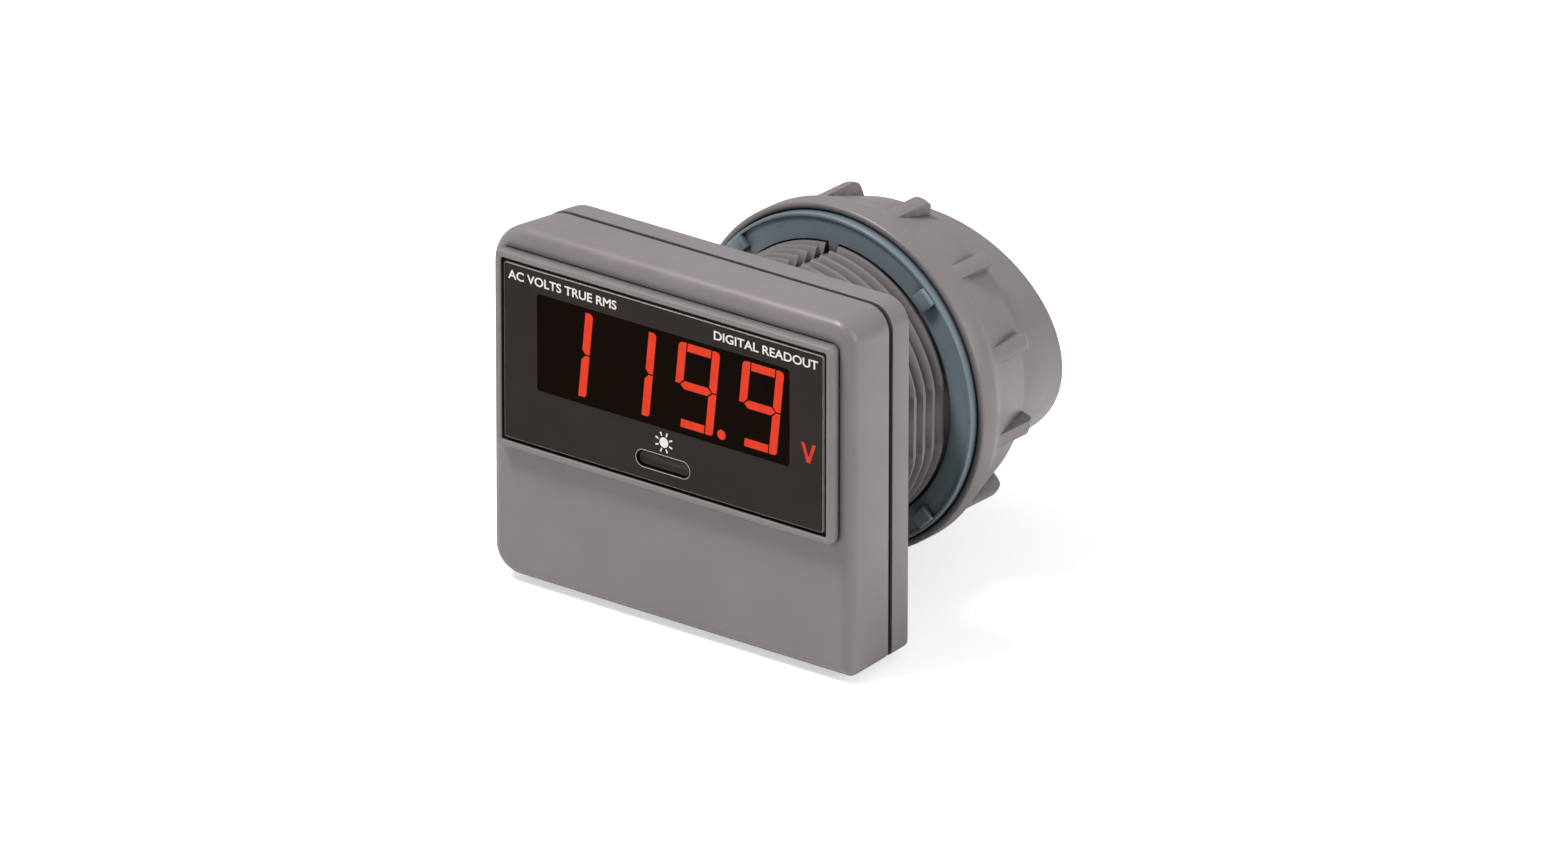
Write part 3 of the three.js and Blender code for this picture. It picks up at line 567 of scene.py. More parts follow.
def metal(name, colour, roughness=0.32):
    """Plated metal with fine turning marks."""
    recipe = Recipe(name)
    base = linear(colour)
    marks = 900
    recipe.wire(recipe.mix(recipe.noise(300, 4), scaled(base, 0.8), base), "Base Color")
    recipe.set("Metallic", 1)
    recipe.wire(recipe.spread(recipe.noise(marks, 3), roughness - 0.08, roughness + 0.12), "Roughness")
    recipe.bump(recipe.noise(marks, 2), 0.006)
    return recipe.material


def glowing(name, colour):
    """A lit LED segment, or a printed legend given a painted glow, a little uneven as diffused light is.
    """
    recipe = Recipe(name)
    base = linear(colour)
    glow = recipe.mix(recipe.spread(recipe.noise(420, 2), 0, 1), scaled(base, 0.86), base)
    recipe.wire(glow, "Emission Color")
    recipe.set("Emission Strength", 1)
    recipe.set("Base Color", (0, 0, 0, 1))
    recipe.set("Specular IOR Level", 0.1)
    recipe.set("Roughness", 0.5)
    return recipe.material


def laminated(name, colour):
    """Stacked steel laminations: thin stripes across the stack."""
    recipe = Recipe(name)
    wave = recipe.node("ShaderNodeTexWave", Scale=320, Distortion=0.4)
    wave.bands_direction = "Y"
    recipe.link(recipe.place, wave.inputs["Vector"])
    base = linear(colour)
    recipe.wire(recipe.mix(wave.outputs["Fac"], scaled(base, 0.45), base), "Base Color")
    recipe.set("Metallic", 0.8)
    recipe.set("Roughness", 0.45)
    recipe.bump(wave.outputs["Fac"], 0.05)
    return recipe.material


def circuit_board(name):
    """Green solder mask with faint copper tracks under it."""
    recipe = Recipe(name)
    tracks = recipe.node("ShaderNodeTexBrick", Scale=220)
    tracks.inputs["Color1"].default_value = linear((30, 96, 54))
    tracks.inputs["Color2"].default_value = linear((26, 86, 48))
    tracks.inputs["Mortar"].default_value = linear((48, 122, 72))
    tracks.inputs["Mortar Size"].default_value = 0.04
    recipe.link(recipe.place, tracks.inputs["Vector"])
    recipe.wire(tracks.outputs["Color"], "Base Color")
    recipe.set("Roughness", 0.35)
    recipe.bump(tracks.outputs["Fac"], 0.03)
    return recipe.material


# A pale colour for the dark label's bevelled cut edges: a painted highlight, besides the light the bevels
# catch from the lamps.
PAINTED_HIGHLIGHT_EDGE = moulded("painted_highlight_edge", (196, 194, 188), roughness=0.3, depth=0.002, darkest=0.8)
PRINT_WHITE = moulded("print_white", (232, 230, 226), roughness=0.5, tint=0.04, depth=0.003)
LED_LIGHT = glowing("led_light", (236, 62, 34))
# The printed V is given a painted glow, though it is print and no lamp.
UNIT_RED_PAINTED_GLOW = glowing("unit_red_painted_glow", (222, 62, 46))
SLOT_MATERIAL = {
    "housing_plastic": moulded("housing_plastic", (125, 119, 120), roughness=0.4, specular=0.5),
    "washer_plastic": moulded("washer_plastic", (115, 130, 138), roughness=0.32, specular=0.5),
    "label_film": moulded(
        "label_film", (46, 40, 36), tint=0.1, grain=1500, depth=0.004, specular=0.08
    ),
    "window_acrylic": moulded(
        "window_tint", (17, 8, 3), roughness=0.6, tint=0.2, depth=0.002, specular=0.02
    ),
    "button_plastic": moulded("button_plastic", (40, 36, 32), roughness=0.4, tint=0.1),
    "led_plastic": moulded("led_plastic", (46, 22, 18), roughness=0.4, tint=0.15),
    "circuit_board": circuit_board("circuit_board"),
    "black_plastic": moulded("black_plastic", (34, 34, 36), roughness=0.45, tint=0.15),
    "gasket_rubber": moulded("gasket_rubber", (30, 30, 32), roughness=0.8, tint=0.2, depth=0.05),
    "core_steel": laminated("core_steel", (150, 151, 155)),
    "winding_tape": moulded("winding_tape", (214, 178, 62), roughness=0.5, grain=900, depth=0.03),
    "screw_steel": metal("screw_steel", (196, 198, 202)),
    "terminal_brass": metal("terminal_brass", (206, 168, 88), roughness=0.3),
    "blue_plastic": moulded("blue_plastic", (44, 86, 160), roughness=0.35),
}


def finish_piece(piece, slot, body, material=None, replaced=()):
    """Moves a piece to its place and gives it its material, the slot's own unless one is given, and its
    body.
    """
    piece.data.transform(Matrix.Translation((0, 0, AXIS_Z * MM)))
    piece.data.materials.clear()
    piece.data.materials.append(material or SLOT_MATERIAL[slot])
    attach(piece, body)
    if replaced:
        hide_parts(*replaced)


def dress_cad_nodes():
    """Gives every carried-over CAD node its material."""
    for entry in frame["record"]["subparts"]:
        node = frame["nodes"][entry["node"]]
        node.data.materials.clear()
        node.data.materials.append(SLOT_MATERIAL[entry["material_slot"]])


# ---- Housing ---------------------------------------------------------------------------


def housing_ring(corners, y, inset):
    """The housing's outline at a depth, drawn in by an inset."""
    taper = HOUSING_TAPER * (y - FACE_Y)
    outline = rounded_rectangle(
        HOUSING_WIDTH - 2 * (taper + inset),
        HOUSING_HEIGHT - taper - 2 * inset,
        [max(radius - inset, SHARPEST_CORNER) for radius in corners],
        centre=(0, HOUSING_Z - taper / 2),
    )
    return (y, outline)


def edge_rings(corners, y_edge, direction, radius, steps):
    """Rings that round a housing edge. Direction is +1 where the body lies behind the edge."""
    rings = []
    for angle in arc_steps(steps):
        y = y_edge + direction * radius * (1 - math.cos(angle))
        rings.append(housing_ring(corners, y, radius * (1 - math.sin(angle))))
    return rings


def front_bezel():
    """A hollow moulding with round edges, a seat for the frame and a stepped back rim."""
    seat_y = FRAME_HIGH.y + GAP
    seat = node_outline("display_frame", -SEAT_GAP, SEAT_CORNER)
    opening = rounded_rectangle(
        WINDOW_HIGH.x - WINDOW_LOW.x - 2 * LEDGE_SIDE,
        WINDOW_HIGH.z - WINDOW_LOW.z - 2 * LEDGE_TOP,
        WINDOW_CORNER + WINDOW_GAP,
        centre=(LABEL_X, WINDOW_Z),
    )
    groove_y = PLATE_FRONT_Y - GROOVE_WIDTH
    back_y = PLATE_FRONT_Y - GAP
    rings = [(FACE_Y + WALL, opening), (seat_y, opening), (seat_y, seat), (FACE_Y + SEAT_DIP, seat)]
    rings += edge_rings(BEZEL_CORNERS, FACE_Y, 1, HOUSING_EDGE, steps=8)
    rings += reversed(edge_rings(BEZEL_CORNERS, groove_y, -1, PARTING_EDGE, steps=3))
    rings.append(housing_ring(BEZEL_CORNERS, groove_y, GROOVE_DEPTH))
    rings.append(housing_ring(BEZEL_CORNERS, back_y, GROOVE_DEPTH))
    rings.append(housing_ring(BEZEL_CORNERS, back_y, WALL))
    rings.append(housing_ring(BEZEL_CORNERS, FACE_Y + WALL, WALL))
    bezel = lofted("bezel_shell", rings, closed=True)
    carve(bezel, button_cutter())
    finish_piece(bezel, "housing_plastic", "housing", replaced=["front_bezel"])


def display_frame():
    """The raised frame: a narrow ridge all round, and a flat that slopes in to the label."""
    profile = [(FRAME_LOW.y + depth, inset, corner) for depth, inset, corner in RIDGE]
    # The outer and the inner wall run straight to the back.
    profile.insert(0, (FRAME_HIGH.y, *RIDGE[0][1:]))
    profile.append((FRAME_HIGH.y, *RIDGE[-1][1:]))
    rings = [(y, node_outline("display_frame", inset, corner, 6)) for y, inset, corner in profile]
    ridge = lofted("display_frame_ridge", rings, closed=True)
    finish_piece(ridge, "housing_plastic", "housing", replaced=["display_frame"])


def label_plate():
    """The printed label, stepped down at its edge and cut out for the window and button."""
    window = node_outline("display_window", -WINDOW_GAP, WINDOW_CORNER + WINDOW_GAP)
    outer = node_outline("label_plate", 0, LABEL_CORNER)
    stepped = node_outline("label_plate", LABEL_BORDER, LABEL_STEP_CORNER)
    step_y = LABEL_Y + LABEL_STEP
    rings = [
        (LABEL_HIGH.y, window),
        (LABEL_HIGH.y, outer),
        (step_y, outer),
        (step_y, stepped),
        (LABEL_Y, stepped),
        (LABEL_Y, window),
    ]
    plate = lofted("label_film_plate", rings, closed=True, smooth_angle=20)
    carve(plate, button_cutter())
    finish_piece(plate, "label_film", "housing", replaced=["label_plate"])


def label_edge():
    """The label's cut edge: a fine bevel that catches the light from above, coloured pale as a painted
    highlight.
    """
    foot = LABEL_Y + LABEL_STEP
    crest = LABEL_Y - LABEL_EDGE_RISE
    outer = node_outline("label_plate", LABEL_BORDER - LAP, LABEL_STEP_CORNER)
    crest_inner = node_outline("label_plate", LABEL_BORDER - 2 * LAP, LABEL_STEP_CORNER)
    toe = node_outline("label_plate", LABEL_BORDER - LABEL_EDGE, LABEL_STEP_CORNER + 0.1)
    rings = [(foot, outer), (foot, toe), (crest, crest_inner), (crest, outer)]
    finish_piece(lofted("label_edge", rings, closed=True), "label_film", "housing", PAINTED_HIGHLIGHT_EDGE)


def display_window():
    """The tinted pane, with a fine bevel round its front."""
    outer = node_outline("display_window", 0, WINDOW_CORNER)
    inner = node_outline("display_window", WINDOW_EDGE, WINDOW_CORNER - WINDOW_EDGE)
    front = LABEL_Y + WINDOW_INSET
    edge = front + WINDOW_EDGE_DEPTH
    pane = lofted("display_pane", [(front, inner), (edge, outer), (WINDOW_HIGH.y, outer)])
    finish_piece(pane, "window_acrylic", "housing", replaced=["display_window"])


def rear_housing():
    """The back plate and its threaded barrel, in one moulding."""
    rings = [housing_ring(PLATE_CORNERS, -WALL, WALL)]
    rings.append(housing_ring(PLATE_CORNERS, PLATE_FRONT_Y, WALL))
    rings += edge_rings(PLATE_CORNERS, PLATE_FRONT_Y, 1, PARTING_EDGE, steps=3)
    rings += reversed(edge_rings(PLATE_CORNERS, 0, -1, PLATE_EDGE, steps=4))
    # The half step puts the bore's points where the rounded outline has its own.
    bore = circle(BARREL_BORE, len(rings[0][1]), phase=0.5)
    rings += [(0, bore), (-WALL, bore)]
    plate = lofted("rear_moulding", rings, closed=True)
    weld(plate, threaded_barrel())
    carve(plate, key_slot(), gasket_groove())
    for i in range(SCREW_COUNT):
        low, high = span(f"housing_screw_{i + 1}")
        x = (low.x + high.x) / 2
        z = (low.z + high.z) / 2
        head = rod("cutter", SCREW_HEAD_HOLE, -WALL + SCREW_SEAT, OVERCUT, x, z)
        shank = rod("cutter", SCREW_SHANK_HOLE, SCREW_HOLE_FRONT_Y, OVERCUT, x, z, 24)
        carve(plate, head, shank)
    finish_piece(plate, "housing_plastic", "housing", replaced=["rear_housing"])


def key_slot():
    """The slot along the barrel's top that the washer's tooth rides in."""
    half = SLOT_WIDTH / 2
    low = (-half, SLOT_FRONT_Y, THREAD_RADIUS - SLOT_DEPTH)
    high = (half, BARREL_END_Y + OVERCUT, THREAD_RADIUS + 2 * OVERCUT)
    return brick("cutter", low, high)


def gasket_groove():
    floor = GASKET_LOW.y - GAP
    inner = GASKET_INNER - GAP
    outer = GASKET_HIGH.x + GAP
    return turned("cutter", [(inner, floor), (outer, floor), (outer, OVERCUT), (inner, OVERCUT)])


def threaded_barrel():
    """A helical thread with flats at both sides. Its rows follow the helix."""
    columns = 180
    bore = BARREL_BORE + 0.01
    turn_count = int((BARREL_END_Y - THREAD_FRONT_Y) / THREAD_PITCH) + 3
    rows = [(turn + along, depth) for turn in range(-1, turn_count) for along, depth in THREAD_PROFILE]
    runout_y = BARREL_END_Y - THREAD_RUNOUT
    vertices = []
    for i in range(columns):
        lead = i / columns
        profile = [(bore, THREAD_FRONT_Y)]
        for along, depth in rows:
            # A right-hand thread moves away from the display as it turns from +Z to -X.
            y = THREAD_FRONT_Y + (along - lead) * THREAD_PITCH
            y = min(max(y, THREAD_FRONT_Y), BARREL_END_Y)
            fade = min(1, max(0, (runout_y - y) / THREAD_RUNOUT))
            radius = THREAD_RADIUS - THREAD_DEPTH * (depth * fade + THREAD_RUNOUT_LEVEL * (1 - fade))
            profile.append((radius, y))
        profile.append((bore, BARREL_END_Y))
        for x, y, z in around_barrel(2 * math.pi * lead, profile):
            vertices.append((min(max(x, -FLAT_HALF_WIDTH), FLAT_HALF_WIDTH), y, z))
    count = len(rows) + 2
    faces = []
    for i in range(columns):
        here = i * count
        there = ((i + 1) % columns) * count
        # The seam steps by one turn of the thread.
        shift = len(THREAD_PROFILE) if i == columns - 1 else 0
        for k in range(count):
            m = (k + 1) % count
            corners = (
                here + k,
                here + m,
                there + seam_row(m, shift, count),
                there + seam_row(k, shift, count),
            )
            if len(set(corners)) >= 3:
                faces.append(tuple(dict.fromkeys(corners)))
    return new_object("barrel", vertices, faces, 30)


def seam_row(row, shift, count):
    """The row on the next column that a row joins. End rows stay where they are."""
    if row in (0, count - 1):
        return row
    return min(max(row - shift, 1), count - 2)


# ---- Washer and ring nut ---------------------------------------------------------------


def panel_washer():
    """A rimmed ring with a key tooth and four raised pads on its front."""
    back = WASHER_HIGH.y
    front = back - WASHER_THICKNESS
    rim_front = front - WASHER_RIM_HEIGHT
    rim = WASHER_RADIUS - WASHER_RIM_WIDTH
    bore = THREAD_RADIUS + GAP
    profile = filleted(
        [
            (bore, front, 0.15),
            (rim, front, 0.15),
            (rim, rim_front, 0.12),
            (WASHER_RADIUS, rim_front, 0.3),
            (WASHER_RADIUS, back, 0.2),
            (bore, back, 0.15),
        ]
    )
    washer = turned("washer_ring", profile)
    tooth_half = SLOT_WIDTH / 2 - GAP
    tooth_foot = THREAD_RADIUS - SLOT_DEPTH + GAP
    tooth_low = (-tooth_half, front + TOOTH_INSET, tooth_foot)
    tooth = brick("tooth", tooth_low, (tooth_half, back - TOOTH_INSET, bore + ROOT))
    soften(tooth, TOOTH_ROUNDING)
    weld(washer, tooth)
    pad_low = (-PAD_HALF_WIDTH, WASHER_LOW.y, rim - PAD_LENGTH)
    pad_high = (PAD_HALF_WIDTH, front + ROOT, rim + PAD_OVERLAP)
    for i in range(PAD_COUNT):
        pad = brick("pad", pad_low, pad_high)
        soften(pad, PAD_ROUNDING)
        pad.data.transform(Matrix.Rotation((i + 0.5) * 2 * math.pi / PAD_COUNT, 4, "Y"))
        weld(washer, pad)
    finish_piece(washer, "washer_plastic", "washer", replaced=["panel_washer"])


def smooth_max(a, b, blend_width):
    return (a + b + math.sqrt((a - b) ** 2 + blend_width**2)) / 2


def nut_cone(y):
    """The nut's outside between the ribs: a lip that curves down to a cone."""
    seat = NUT_LOW.y + NUT_COLLAR
    neck = seat + NUT_NECK
    flare_end = neck + NUT_FLARE
    cone = CONE_RADIUS - (y - neck) * (CONE_RADIUS - NUT_WAIST_RADIUS) / (RIB_END_Y - neck)
    if y >= flare_end:
        return cone
    t = (flare_end - y) / (flare_end - (seat + NUT_LIP))
    return cone + (NUT_HIGH.x - cone) * t**NUT_FLARE_POWER


def nut_rib(y, offset):
    """A rib's own surface, far below the cone where there is no rib."""
    side = max(0.0, abs(offset) - RIB_HALF_WIDTH)
    crown = RIB_CROWN * (offset / RIB_HALF_WIDTH) ** 2
    drop = 0.0
    if y > RIB_END_Y - RIB_ROUNDING:
        t = min(1.0, (y - (RIB_END_Y - RIB_ROUNDING)) / RIB_ROUNDING)
        drop = RIB_ROUNDING * (1 - math.sqrt(1 - t * t))
    if y > RIB_END_Y:
        drop += (y - RIB_END_Y) * RIB_END_SLOPE
    return RIB_RADIUS - crown - drop - side * RIB_SIDE_SLOPE


def nut_rows(seat):
    """Depths where the outside is drawn, closest together where it bends most."""
    rows = [seat + d for d in (2.2, 2.6, 3.0, 3.5, 4.1, 4.8)]
    rows += [seat + 5.6 + 0.75 * k for k in range(13)]
    rows += [RIB_END_Y - RIB_ROUNDING + 0.3 * k for k in range(8)]
    rows += [RIB_END_Y + d for d in (0.0, 0.06, 0.12, 0.2, 0.3, 0.45)]
    return sorted(set(round(y, 3) for y in rows))


def nut_columns():
    """Angles round the nut, each with its distance from the nearest rib's middle."""
    steps = [0, 0.7, 1.2, 1.45, 1.55, 1.6, 1.65, 1.7, 1.76, 1.85, 2.0, 2.3, 2.8, 3.8, 5.4, 7.2]
    half_pitch = math.pi * MEAN_NUT_RADIUS / RIB_COUNT
    columns = []
    for k in range(RIB_COUNT):
        for offset in [-s for s in reversed(steps[1:])] + steps + [half_pitch]:
            turn = 2 * math.pi * k / RIB_COUNT + offset / half_pitch * math.pi / RIB_COUNT
            columns.append((RIB_PHASE + turn, offset))
    return columns


def ring_nut():
    """A lipped ring nut. Its tapered outside and its ribs are one blended surface."""
    front = NUT_LOW.y
    seat = front + NUT_COLLAR
    back = NUT_HIGH.y
    lip = NUT_HIGH.x
    waist = NUT_WAIST_RADIUS
    bore = THREAD_RADIUS + GAP
    inner = WASHER_RADIUS + GAP
    collar = [
        (bore + 0.3, seat),
        (inner, seat),
        (inner, front + 0.12),
        (inner + 0.12, front),
        (lip - 0.5, front),
        (lip - 0.14, front + 0.16),
        (lip, front + 0.5),
        (lip, seat + 1.9),
    ]
    tail = [
        (waist - 0.5, back - 0.5),
        (waist - 0.8, back - 0.15),
        (waist - 1.1, back),
        (bore + 0.3, back),
        (bore, back - 0.3),
        (bore, seat + 0.3),
    ]
    rings = []
    for angle, offset in nut_columns():
        side = [(smooth_max(nut_cone(y), nut_rib(y, offset), RIB_BLEND), y) for y in nut_rows(seat)]
        rings.append(around_barrel(angle, collar + side + tail))
    nut = skinned("ring_nut_body", rings, closed=True, smooth_angle=50)
    finish_piece(nut, "housing_plastic", "nut", replaced=["ring_nut"])


# ---- Button ----------------------------------------------------------------------------


def pill(outset):
    """The button's outline, grown by an outset."""
    height = BUTTON_CAP_HEIGHT + 2 * outset
    return rounded_rectangle(BUTTON_CAP_WIDTH + 2 * outset, height, height / 2, centre=(LABEL_X, BUTTON_Z))


def button_cutter():
    """The button's hole through the label and the bezel's face."""
    outline = pill(GAP)
    back = FACE_Y + WALL + 2 * OVERCUT
    return lofted("cutter", [(FRAME_LOW.y - 2 * OVERCUT, outline), (back, outline)])


def button_edge():
    """The label's cut edge round the button's hole, coloured pale as a painted highlight."""
    foot = LABEL_Y + LAP
    crest = LABEL_Y - BUTTON_EDGE_RISE
    outer = GAP + BUTTON_EDGE
    rings = [
        (foot, pill(GAP)),
        (foot, pill(outer)),
        (crest, pill(outer - BUTTON_EDGE_BEVEL)),
        (crest, pill(GAP + BUTTON_EDGE_BEVEL)),
    ]
    finish_piece(lofted("button_edge", rings, closed=True), "label_film", "housing", PAINTED_HIGHLIGHT_EDGE)


def brightness_button():
    """A pill with a dished face, on a flange that keeps it in its hole."""
    back = BUTTON_HIGH.y
    flange_y = back - BUTTON_FLANGE_DEPTH
    flange = node_outline("brightness_button", 0, BUTTON_FLANGE_CORNER)
    rings = [(BUTTON_LOW.y + depth, pill(-inset)) for depth, inset in BUTTON_FACE]
    rings += [(flange_y, pill(0)), (flange_y, flange), (back, flange)]
    button = lofted("button_cap", rings)
    finish_piece(button, "button_plastic", "button", replaced=["brightness_button"])


# ---- Lit digits and print --------------------------------------------------------------


def flat_shapes(name, outlines, y_front, thickness, slot, material):
    """Thin plates from 2-D outlines (x, z), all one piece of print or one lit digit."""
    vertices = []
    faces = []
    for outline in outlines:
        base = len(vertices)
        count = len(outline)
        vertices += [(x, y_front, z) for x, z in outline]
        vertices += [(x, y_front + thickness, z) for x, z in outline]
        faces.append(tuple(range(base, base + count)))
        faces.append(tuple(range(base + 2 * count - 1, base + count - 1, -1)))
        for i in range(count):
            j = (i + 1) % count
            faces.append((base + i, base + count + i, base + count + j, base + j))
    finish_piece(new_object(name, vertices, faces, 30), slot, "housing", material)


def printed(name, outlines, material):
    flat_shapes(name, outlines, LABEL_Y - PRINT_RISE, PRINT_THICKNESS, "label_film", material)


def segment_outlines():
    """The segments of an upright digit, from its lower left corner."""
    w, h, t, g = DIGIT_WIDTH, DIGIT_HEIGHT, DIGIT_STROKE, DIGIT_GAP
    mid = h / 2
    bar = t - 0.2  # the height of a segment that lies across
    tip = w - t / 2 - 0.1
    notch = 1.15
    corner = [(w - 1.0 + math.sin(a), h - 1.0 + math.cos(a)) for a in arc_steps(4)]
    upper_right = [(w - t, mid + notch), (w - t, h), *corner, (w, mid + g), (tip, mid + g)]
    lower_right = [(w - t, 0), (w - t, mid - notch), (tip, mid - g), (w, mid - g), (w, 0.5), (w - 0.4, 0)]
    across = [(t + 2 * g, 0), (w - t - 2 * g, 0), (w - t - 2 * g, bar), (t + 2 * g, bar)]
    left = t / 2 + 0.35
    right = w - left
    point = 1.05
    middle = [
        (left, mid),
        (left + point, mid - bar / 2),
        (right - point, mid - bar / 2),
        (right, mid),
        (right - point, mid + bar / 2),
        (left + point, mid + bar / 2),
    ]
    return {
        "a": [(x, h - bar + z) for x, z in across],
        "b": upper_right,
        "c": lower_right,
        "d": across,
        "f": [(w - x, z) for x, z in reversed(upper_right)],
        "g": middle,
    }


def lit_display():
    """The reading's digits, lit in the window, with a point after one of them."""
    segments = segment_outlines()
    foot = LABEL_Z + DIGIT_FOOT_Z
    for place, digit in enumerate(READING):
        left = LAST_DIGIT_LEFT - (len(READING) - 1 - place) * DIGIT_PITCH
        outlines = []
        for key in SEGMENTS[digit]:
            outlines.append([(left + x + z * DIGIT_SLANT, foot + z) for x, z in segments[key]])
        if place == POINT_PLACE:
            centre = (left + DIGIT_WIDTH + POINT_OFFSET[0], foot + POINT_OFFSET[1])
            outlines.append(circle(POINT_RADIUS, 24, centre))
        front = LABEL_Y + LED_INSET
        flat_shapes(f"lit_digit_{place + 1}", outlines, front, LED_THICKNESS, "led_plastic", LED_LIGHT)


def unit_letter():
    """The red V for volts: print, with a painted glow."""
    x = LABEL_X + UNIT_X
    foot = LABEL_Z + UNIT_Z
    top = foot + UNIT_HEIGHT
    outline = [
        (x - UNIT_HALF_WIDTH, top),
        (x - UNIT_HALF_WIDTH + UNIT_STROKE, top),
        (x, foot + UNIT_NOTCH),
        (x + UNIT_HALF_WIDTH - UNIT_STROKE, top),
        (x + UNIT_HALF_WIDTH, top),
        (x + UNIT_STROKE / 2, foot),
        (x - UNIT_STROKE / 2, foot),
    ]
    printed("unit_letter", [outline], UNIT_RED_PAINTED_GLOW)


def sun_symbol():
    """The brightness symbol: a disc with short rays that widen outwards."""
    x = LABEL_X + SUN_X
    z = LABEL_Z + SUN_Z
    outlines = [circle(SUN_RADIUS, 24, (x, z))]
    for i in range(SUN_RAYS):
        angle = 2 * math.pi * (i + 0.5) / SUN_RAYS
        along = Vector((math.cos(angle), math.sin(angle)))
        across = Vector((-along.y, along.x))
        corners = [
            along * RAY_START - across * RAY_HALF_WIDTH_START,
            along * RAY_END - across * RAY_HALF_WIDTH_END,
            along * RAY_END + across * RAY_HALF_WIDTH_END,
            along * RAY_START + across * RAY_HALF_WIDTH_START,
        ]
        outlines.append([(x + c.x, z + c.y) for c in corners])
    printed("sun_symbol", outlines, PRINT_WHITE)


def legend(name, words, left, right):
    """Generic words in the built-in typeface, as thin print that fills a given width."""
    curve = bpy.data.curves.new(name, "FONT")
    curve.body = words
    curve.extrude = LEGEND_THICKNESS
    curve.offset = LEGEND_WEIGHT
    text = link_object(name, curve)
    mesh = evaluated_mesh(text)
    bpy.data.objects.remove(text)
    low_x = min(v.co.x for v in mesh.vertices)
    high_x = max(v.co.x for v in mesh.vertices)
    low_y = min(v.co.y for v in mesh.vertices)
    high_y = max(v.co.y for v in mesh.vertices)
    wide = (right - left) / (high_x - low_x)
    tall = LEGEND_HEIGHT / (high_y - low_y)
    foot = LABEL_HIGH.z - LEGEND_DROP
    for v in mesh.vertices:
        x, up, out = v.co
        v.co = Vector((left + (x - low_x) * wide, LABEL_Y - out, foot + (up - low_y) * tall)) * MM
    piece = link_object(name, mesh)
    tidy(piece)
    finish_piece(piece, "label_film", "housing", PRINT_WHITE)


def legends():
    left = LABEL_LOW.x + LEFT_LEGEND_MARGIN
    legend("legend_left", "AC VOLTS TRUE RMS", left, left + LEFT_LEGEND_WIDTH)
    right = LABEL_HIGH.x - RIGHT_LEGEND_MARGIN
    legend("legend_right", "DIGITAL READOUT", right - RIGHT_LEGEND_WIDTH, right)


# ---- Rear cap --------------------------------------------------------------------------


def circle_ring(y, radius):
    """Points round the barrel's axis."""
    return [Vector((x, y, z)) for x, z in circle(radius, 144)]


def sloping_ring(depth, radius):
    """A circle set back from the cap's sloping end by a depth."""
    return [CAP_END + CAP_LEAN @ point for point in circle_ring(-depth, radius)]


def rear_cap():
    """A cup that closes the barrel. Its end is a smaller circle that leans back."""
    front = BARREL_END_Y + GAP
    spigot = BARREL_BORE - GAP
    inner = spigot - CAP_WALL
    outer = THREAD_RADIUS - GAP
    rings = [circle_ring(CAP_FRONT_Y, inner), circle_ring(CAP_FRONT_Y, spigot - GAP)]
    rings += [circle_ring(CAP_FRONT_Y + GAP, spigot), circle_ring(front, spigot)]
    rings += [circle_ring(front, outer - GAP), circle_ring(front + GAP, outer)]
    for angle in arc_steps(6):
        depth = CAP_EDGE * (1 - math.sin(angle))
        rings.append(sloping_ring(depth, CAP_END_RADIUS - CAP_EDGE * (1 - math.cos(angle))))
    cap = skinned("rear_cap_shell", rings)
    hollow = [circle_ring(CAP_FRONT_Y - OVERCUT, inner), circle_ring(front, inner)]
    hollow.append(sloping_ring(CAP_WALL, CAP_END_RADIUS - CAP_WALL))
    carve(cap, skinned("cutter", hollow))
    for i in range(CAP_SCREW_COUNT):
        low, high = span(f"cap_screw_{i + 1}")
        x = (low.x + high.x) / 2
        weld(cap, rod("post", CAP_POST_RADIUS, CAP_FRONT_Y + GAP, CAP_END.y - CAP_POST_STOP, x))
        carve(cap, rod("cutter", CAP_SHANK_HOLE, CAP_FRONT_Y - OVERCUT, CAP_END.y, x, count=24))
        carve(cap, rod("cutter", CAP_HEAD_HOLE, high.y - CAP_HEAD_HEIGHT, CAP_END.y + 5 * OVERCUT, x))
    carve(cap, terminal_opening())
    finish_piece(cap, "housing_plastic", "housing", replaced=["rear_cap"])


def terminal_opening():
    """The hole the terminal block stands in, square to the sloping end."""
    half_width = TERMINAL_WIDTH / 2 + GAP
    half_height = TERMINAL_HEIGHT / 2 + GAP
    low = (-half_width, -CAP_WALL - OVERCUT, -half_height)
    hole = brick("cutter", low, (half_width, OVERCUT, half_height))
    hole.data.transform(Matrix.Translation(CAP_END * MM) @ CAP_LEAN.to_4x4())
    return hole


# ---- Stage -----------------------------------------------------------------------------

AXIS_POINT = Vector((0, 0, AXIS_Z * MM))
FLOOR_HALF = 6000
FLOOR_DROP = 0.2
FLOOR_LIFT = 0.6  # the glow that turns the floor white in the camera's eye only
SURROUND_LEVEL = 0.5
SURROUND_SHADE = 0.25  # what is left of it on the camera's side
SURROUND_WHITE = 1.05  # what the camera sees

AZIMUTH = math.radians(38.19)
ELEVATION = math.radians(22.71)
CAMERA_BACK = Vector(
    (
        math.sin(AZIMUTH) * math.cos(ELEVATION),
        -math.cos(AZIMUTH) * math.cos(ELEVATION),
        math.sin(ELEVATION),
    )
)
CAMERA_DISTANCE = 4.0
FOCAL_LENGTH = 434.1
LENS_SHIFT = (0.0328, 0.0051)


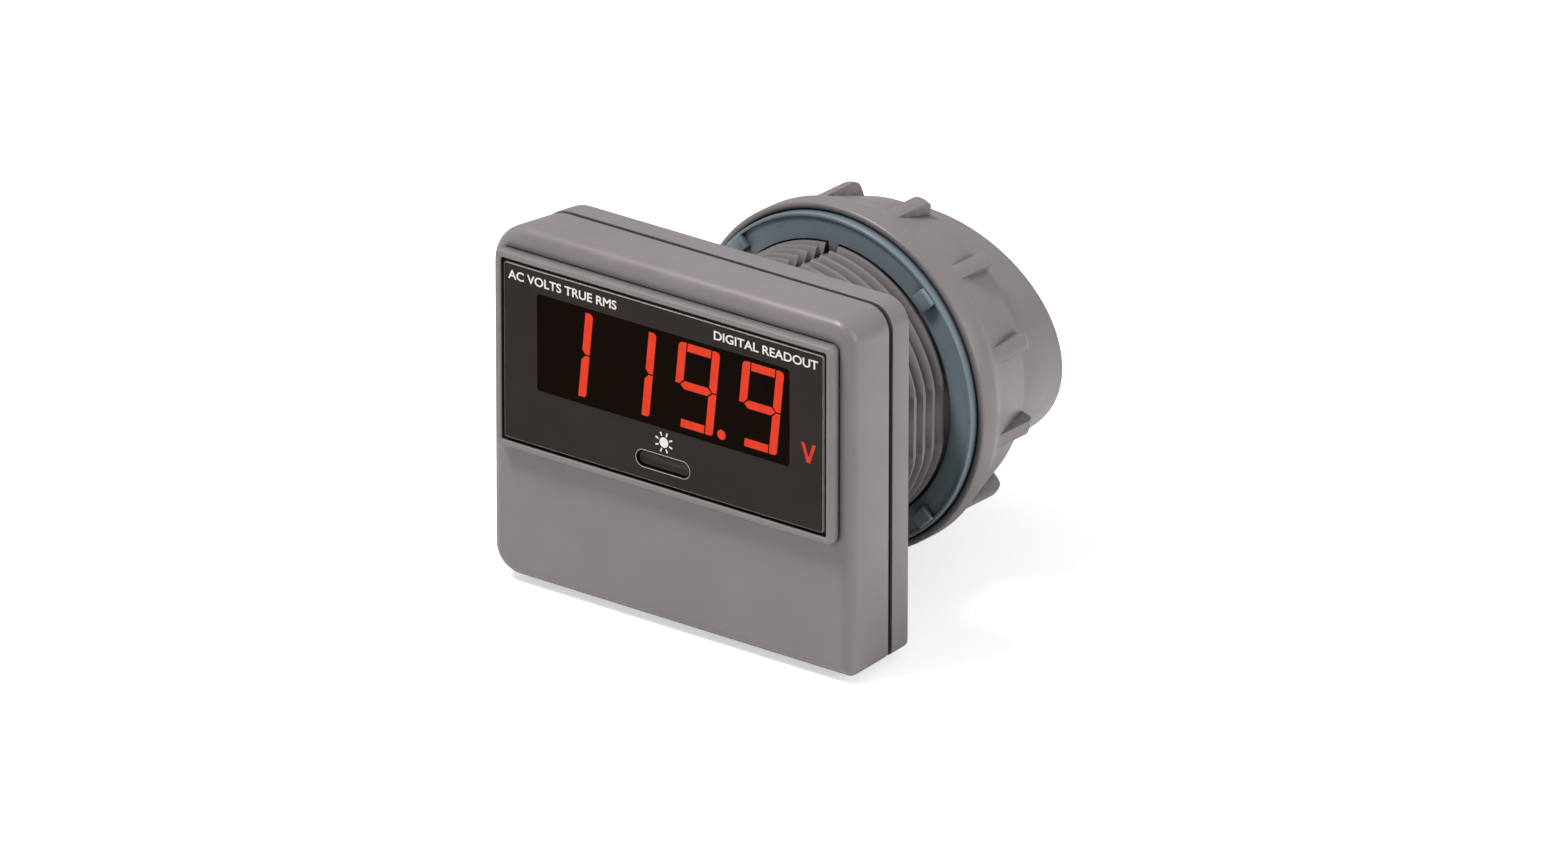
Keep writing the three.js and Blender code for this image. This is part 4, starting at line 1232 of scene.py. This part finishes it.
def stage():
    """A pale floor, a soft white surround and two soft lights."""
    z = CAD_BOX[0][2] / MM - FLOOR_DROP
    corners = [(-1, -1), (1, -1), (1, 1), (-1, 1)]
    floor = new_object("floor", [(x * FLOOR_HALF, y * FLOOR_HALF, z) for x, y in corners], [(0, 1, 2, 3)])
    recipe = Recipe("floor_white")
    tone = recipe.mix(recipe.noise(3, 2), (0.93, 0.93, 0.93, 1), (0.96, 0.96, 0.96, 1))
    recipe.wire(tone, "Base Color")
    recipe.wire(tone, "Emission Color")
    rays = recipe.node("ShaderNodeLightPath")
    lift = recipe.remap(rays.outputs["Is Camera Ray"], (0, 1), (0, FLOOR_LIFT))
    recipe.wire(lift, "Emission Strength")
    recipe.set("Roughness", 0.9)
    floor.data.materials.append(recipe.material)

    surround()
    soft_light("key", (-0.25, -0.35, 0.9), 0.3, 10.0, (1.0, 0.95, 0.94))
    soft_light("side", (1.0, 0.25, 0.35), 0.5, 5.0, (1.0, 0.97, 0.96))
    bpy.context.scene.view_settings.view_transform = "Standard"


def surround():
    """White to the camera. It lights the meter softly, and least from the camera's side."""
    world = bpy.data.worlds.new("surround")
    bpy.context.scene.world = world
    world.use_nodes = True
    wiring = Wiring(world.node_tree)
    background = world.node_tree.nodes["Background"]
    place = wiring.node("ShaderNodeTexCoord")
    facing = wiring.node("ShaderNodeVectorMath")
    facing.operation = "DOT_PRODUCT"
    facing.inputs[1].default_value = CAMERA_BACK
    wiring.link(place.outputs["Generated"], facing.inputs[0])
    levels = (SURROUND_LEVEL, SURROUND_LEVEL * SURROUND_SHADE)
    level = wiring.remap(facing.outputs["Value"], (0.1, 0.95), levels)
    seen = wiring.node("ShaderNodeLightPath").outputs["Is Camera Ray"]
    wiring.link(wiring.mix(seen, (0.92, 0.97, 1, 1), (1, 1, 1, 1)), background.inputs["Color"])
    strength = wiring.node("ShaderNodeMix", B=SURROUND_WHITE)
    wiring.link(seen, strength.inputs["Factor"])
    wiring.link(level, strength.inputs["A"])
    wiring.link(strength.outputs["Result"], background.inputs["Strength"])


def soft_light(name, position, size, power, colour):
    """A round light at a place measured from the barrel's axis, which it faces."""
    light = bpy.data.lights.new(name, "AREA")
    light.shape = "DISK"
    light.size = size
    light.energy = power
    light.color = colour
    lamp = link_object(name, light)
    lamp.location = AXIS_POINT + Vector(position)
    lamp.rotation_euler = (-Vector(position)).to_track_quat("-Z", "Y").to_euler()


def camera():
    """The main view: from the front right and above, through a long lens."""
    right = Vector((math.cos(AZIMUTH), math.sin(AZIMUTH), 0))
    matrix = Matrix((right, CAMERA_BACK.cross(right), CAMERA_BACK)).transposed().to_4x4()
    matrix.translation = AXIS_POINT + CAMERA_BACK * CAMERA_DISTANCE
    lens = bpy.data.cameras.new("camera")
    lens.sensor_width = 36
    lens.lens = FOCAL_LENGTH
    lens.shift_x, lens.shift_y = LENS_SHIFT
    lens.clip_end = 50
    viewer = link_object("camera", lens)
    viewer.matrix_world = matrix
    bpy.context.scene.camera = viewer


dress_cad_nodes()
front_bezel()
display_frame()
label_plate()
label_edge()
button_edge()
display_window()
rear_housing()
panel_washer()
ring_nut()
brightness_button()
lit_display()
unit_letter()
sun_symbol()
legends()
rear_cap()
stage()
camera()
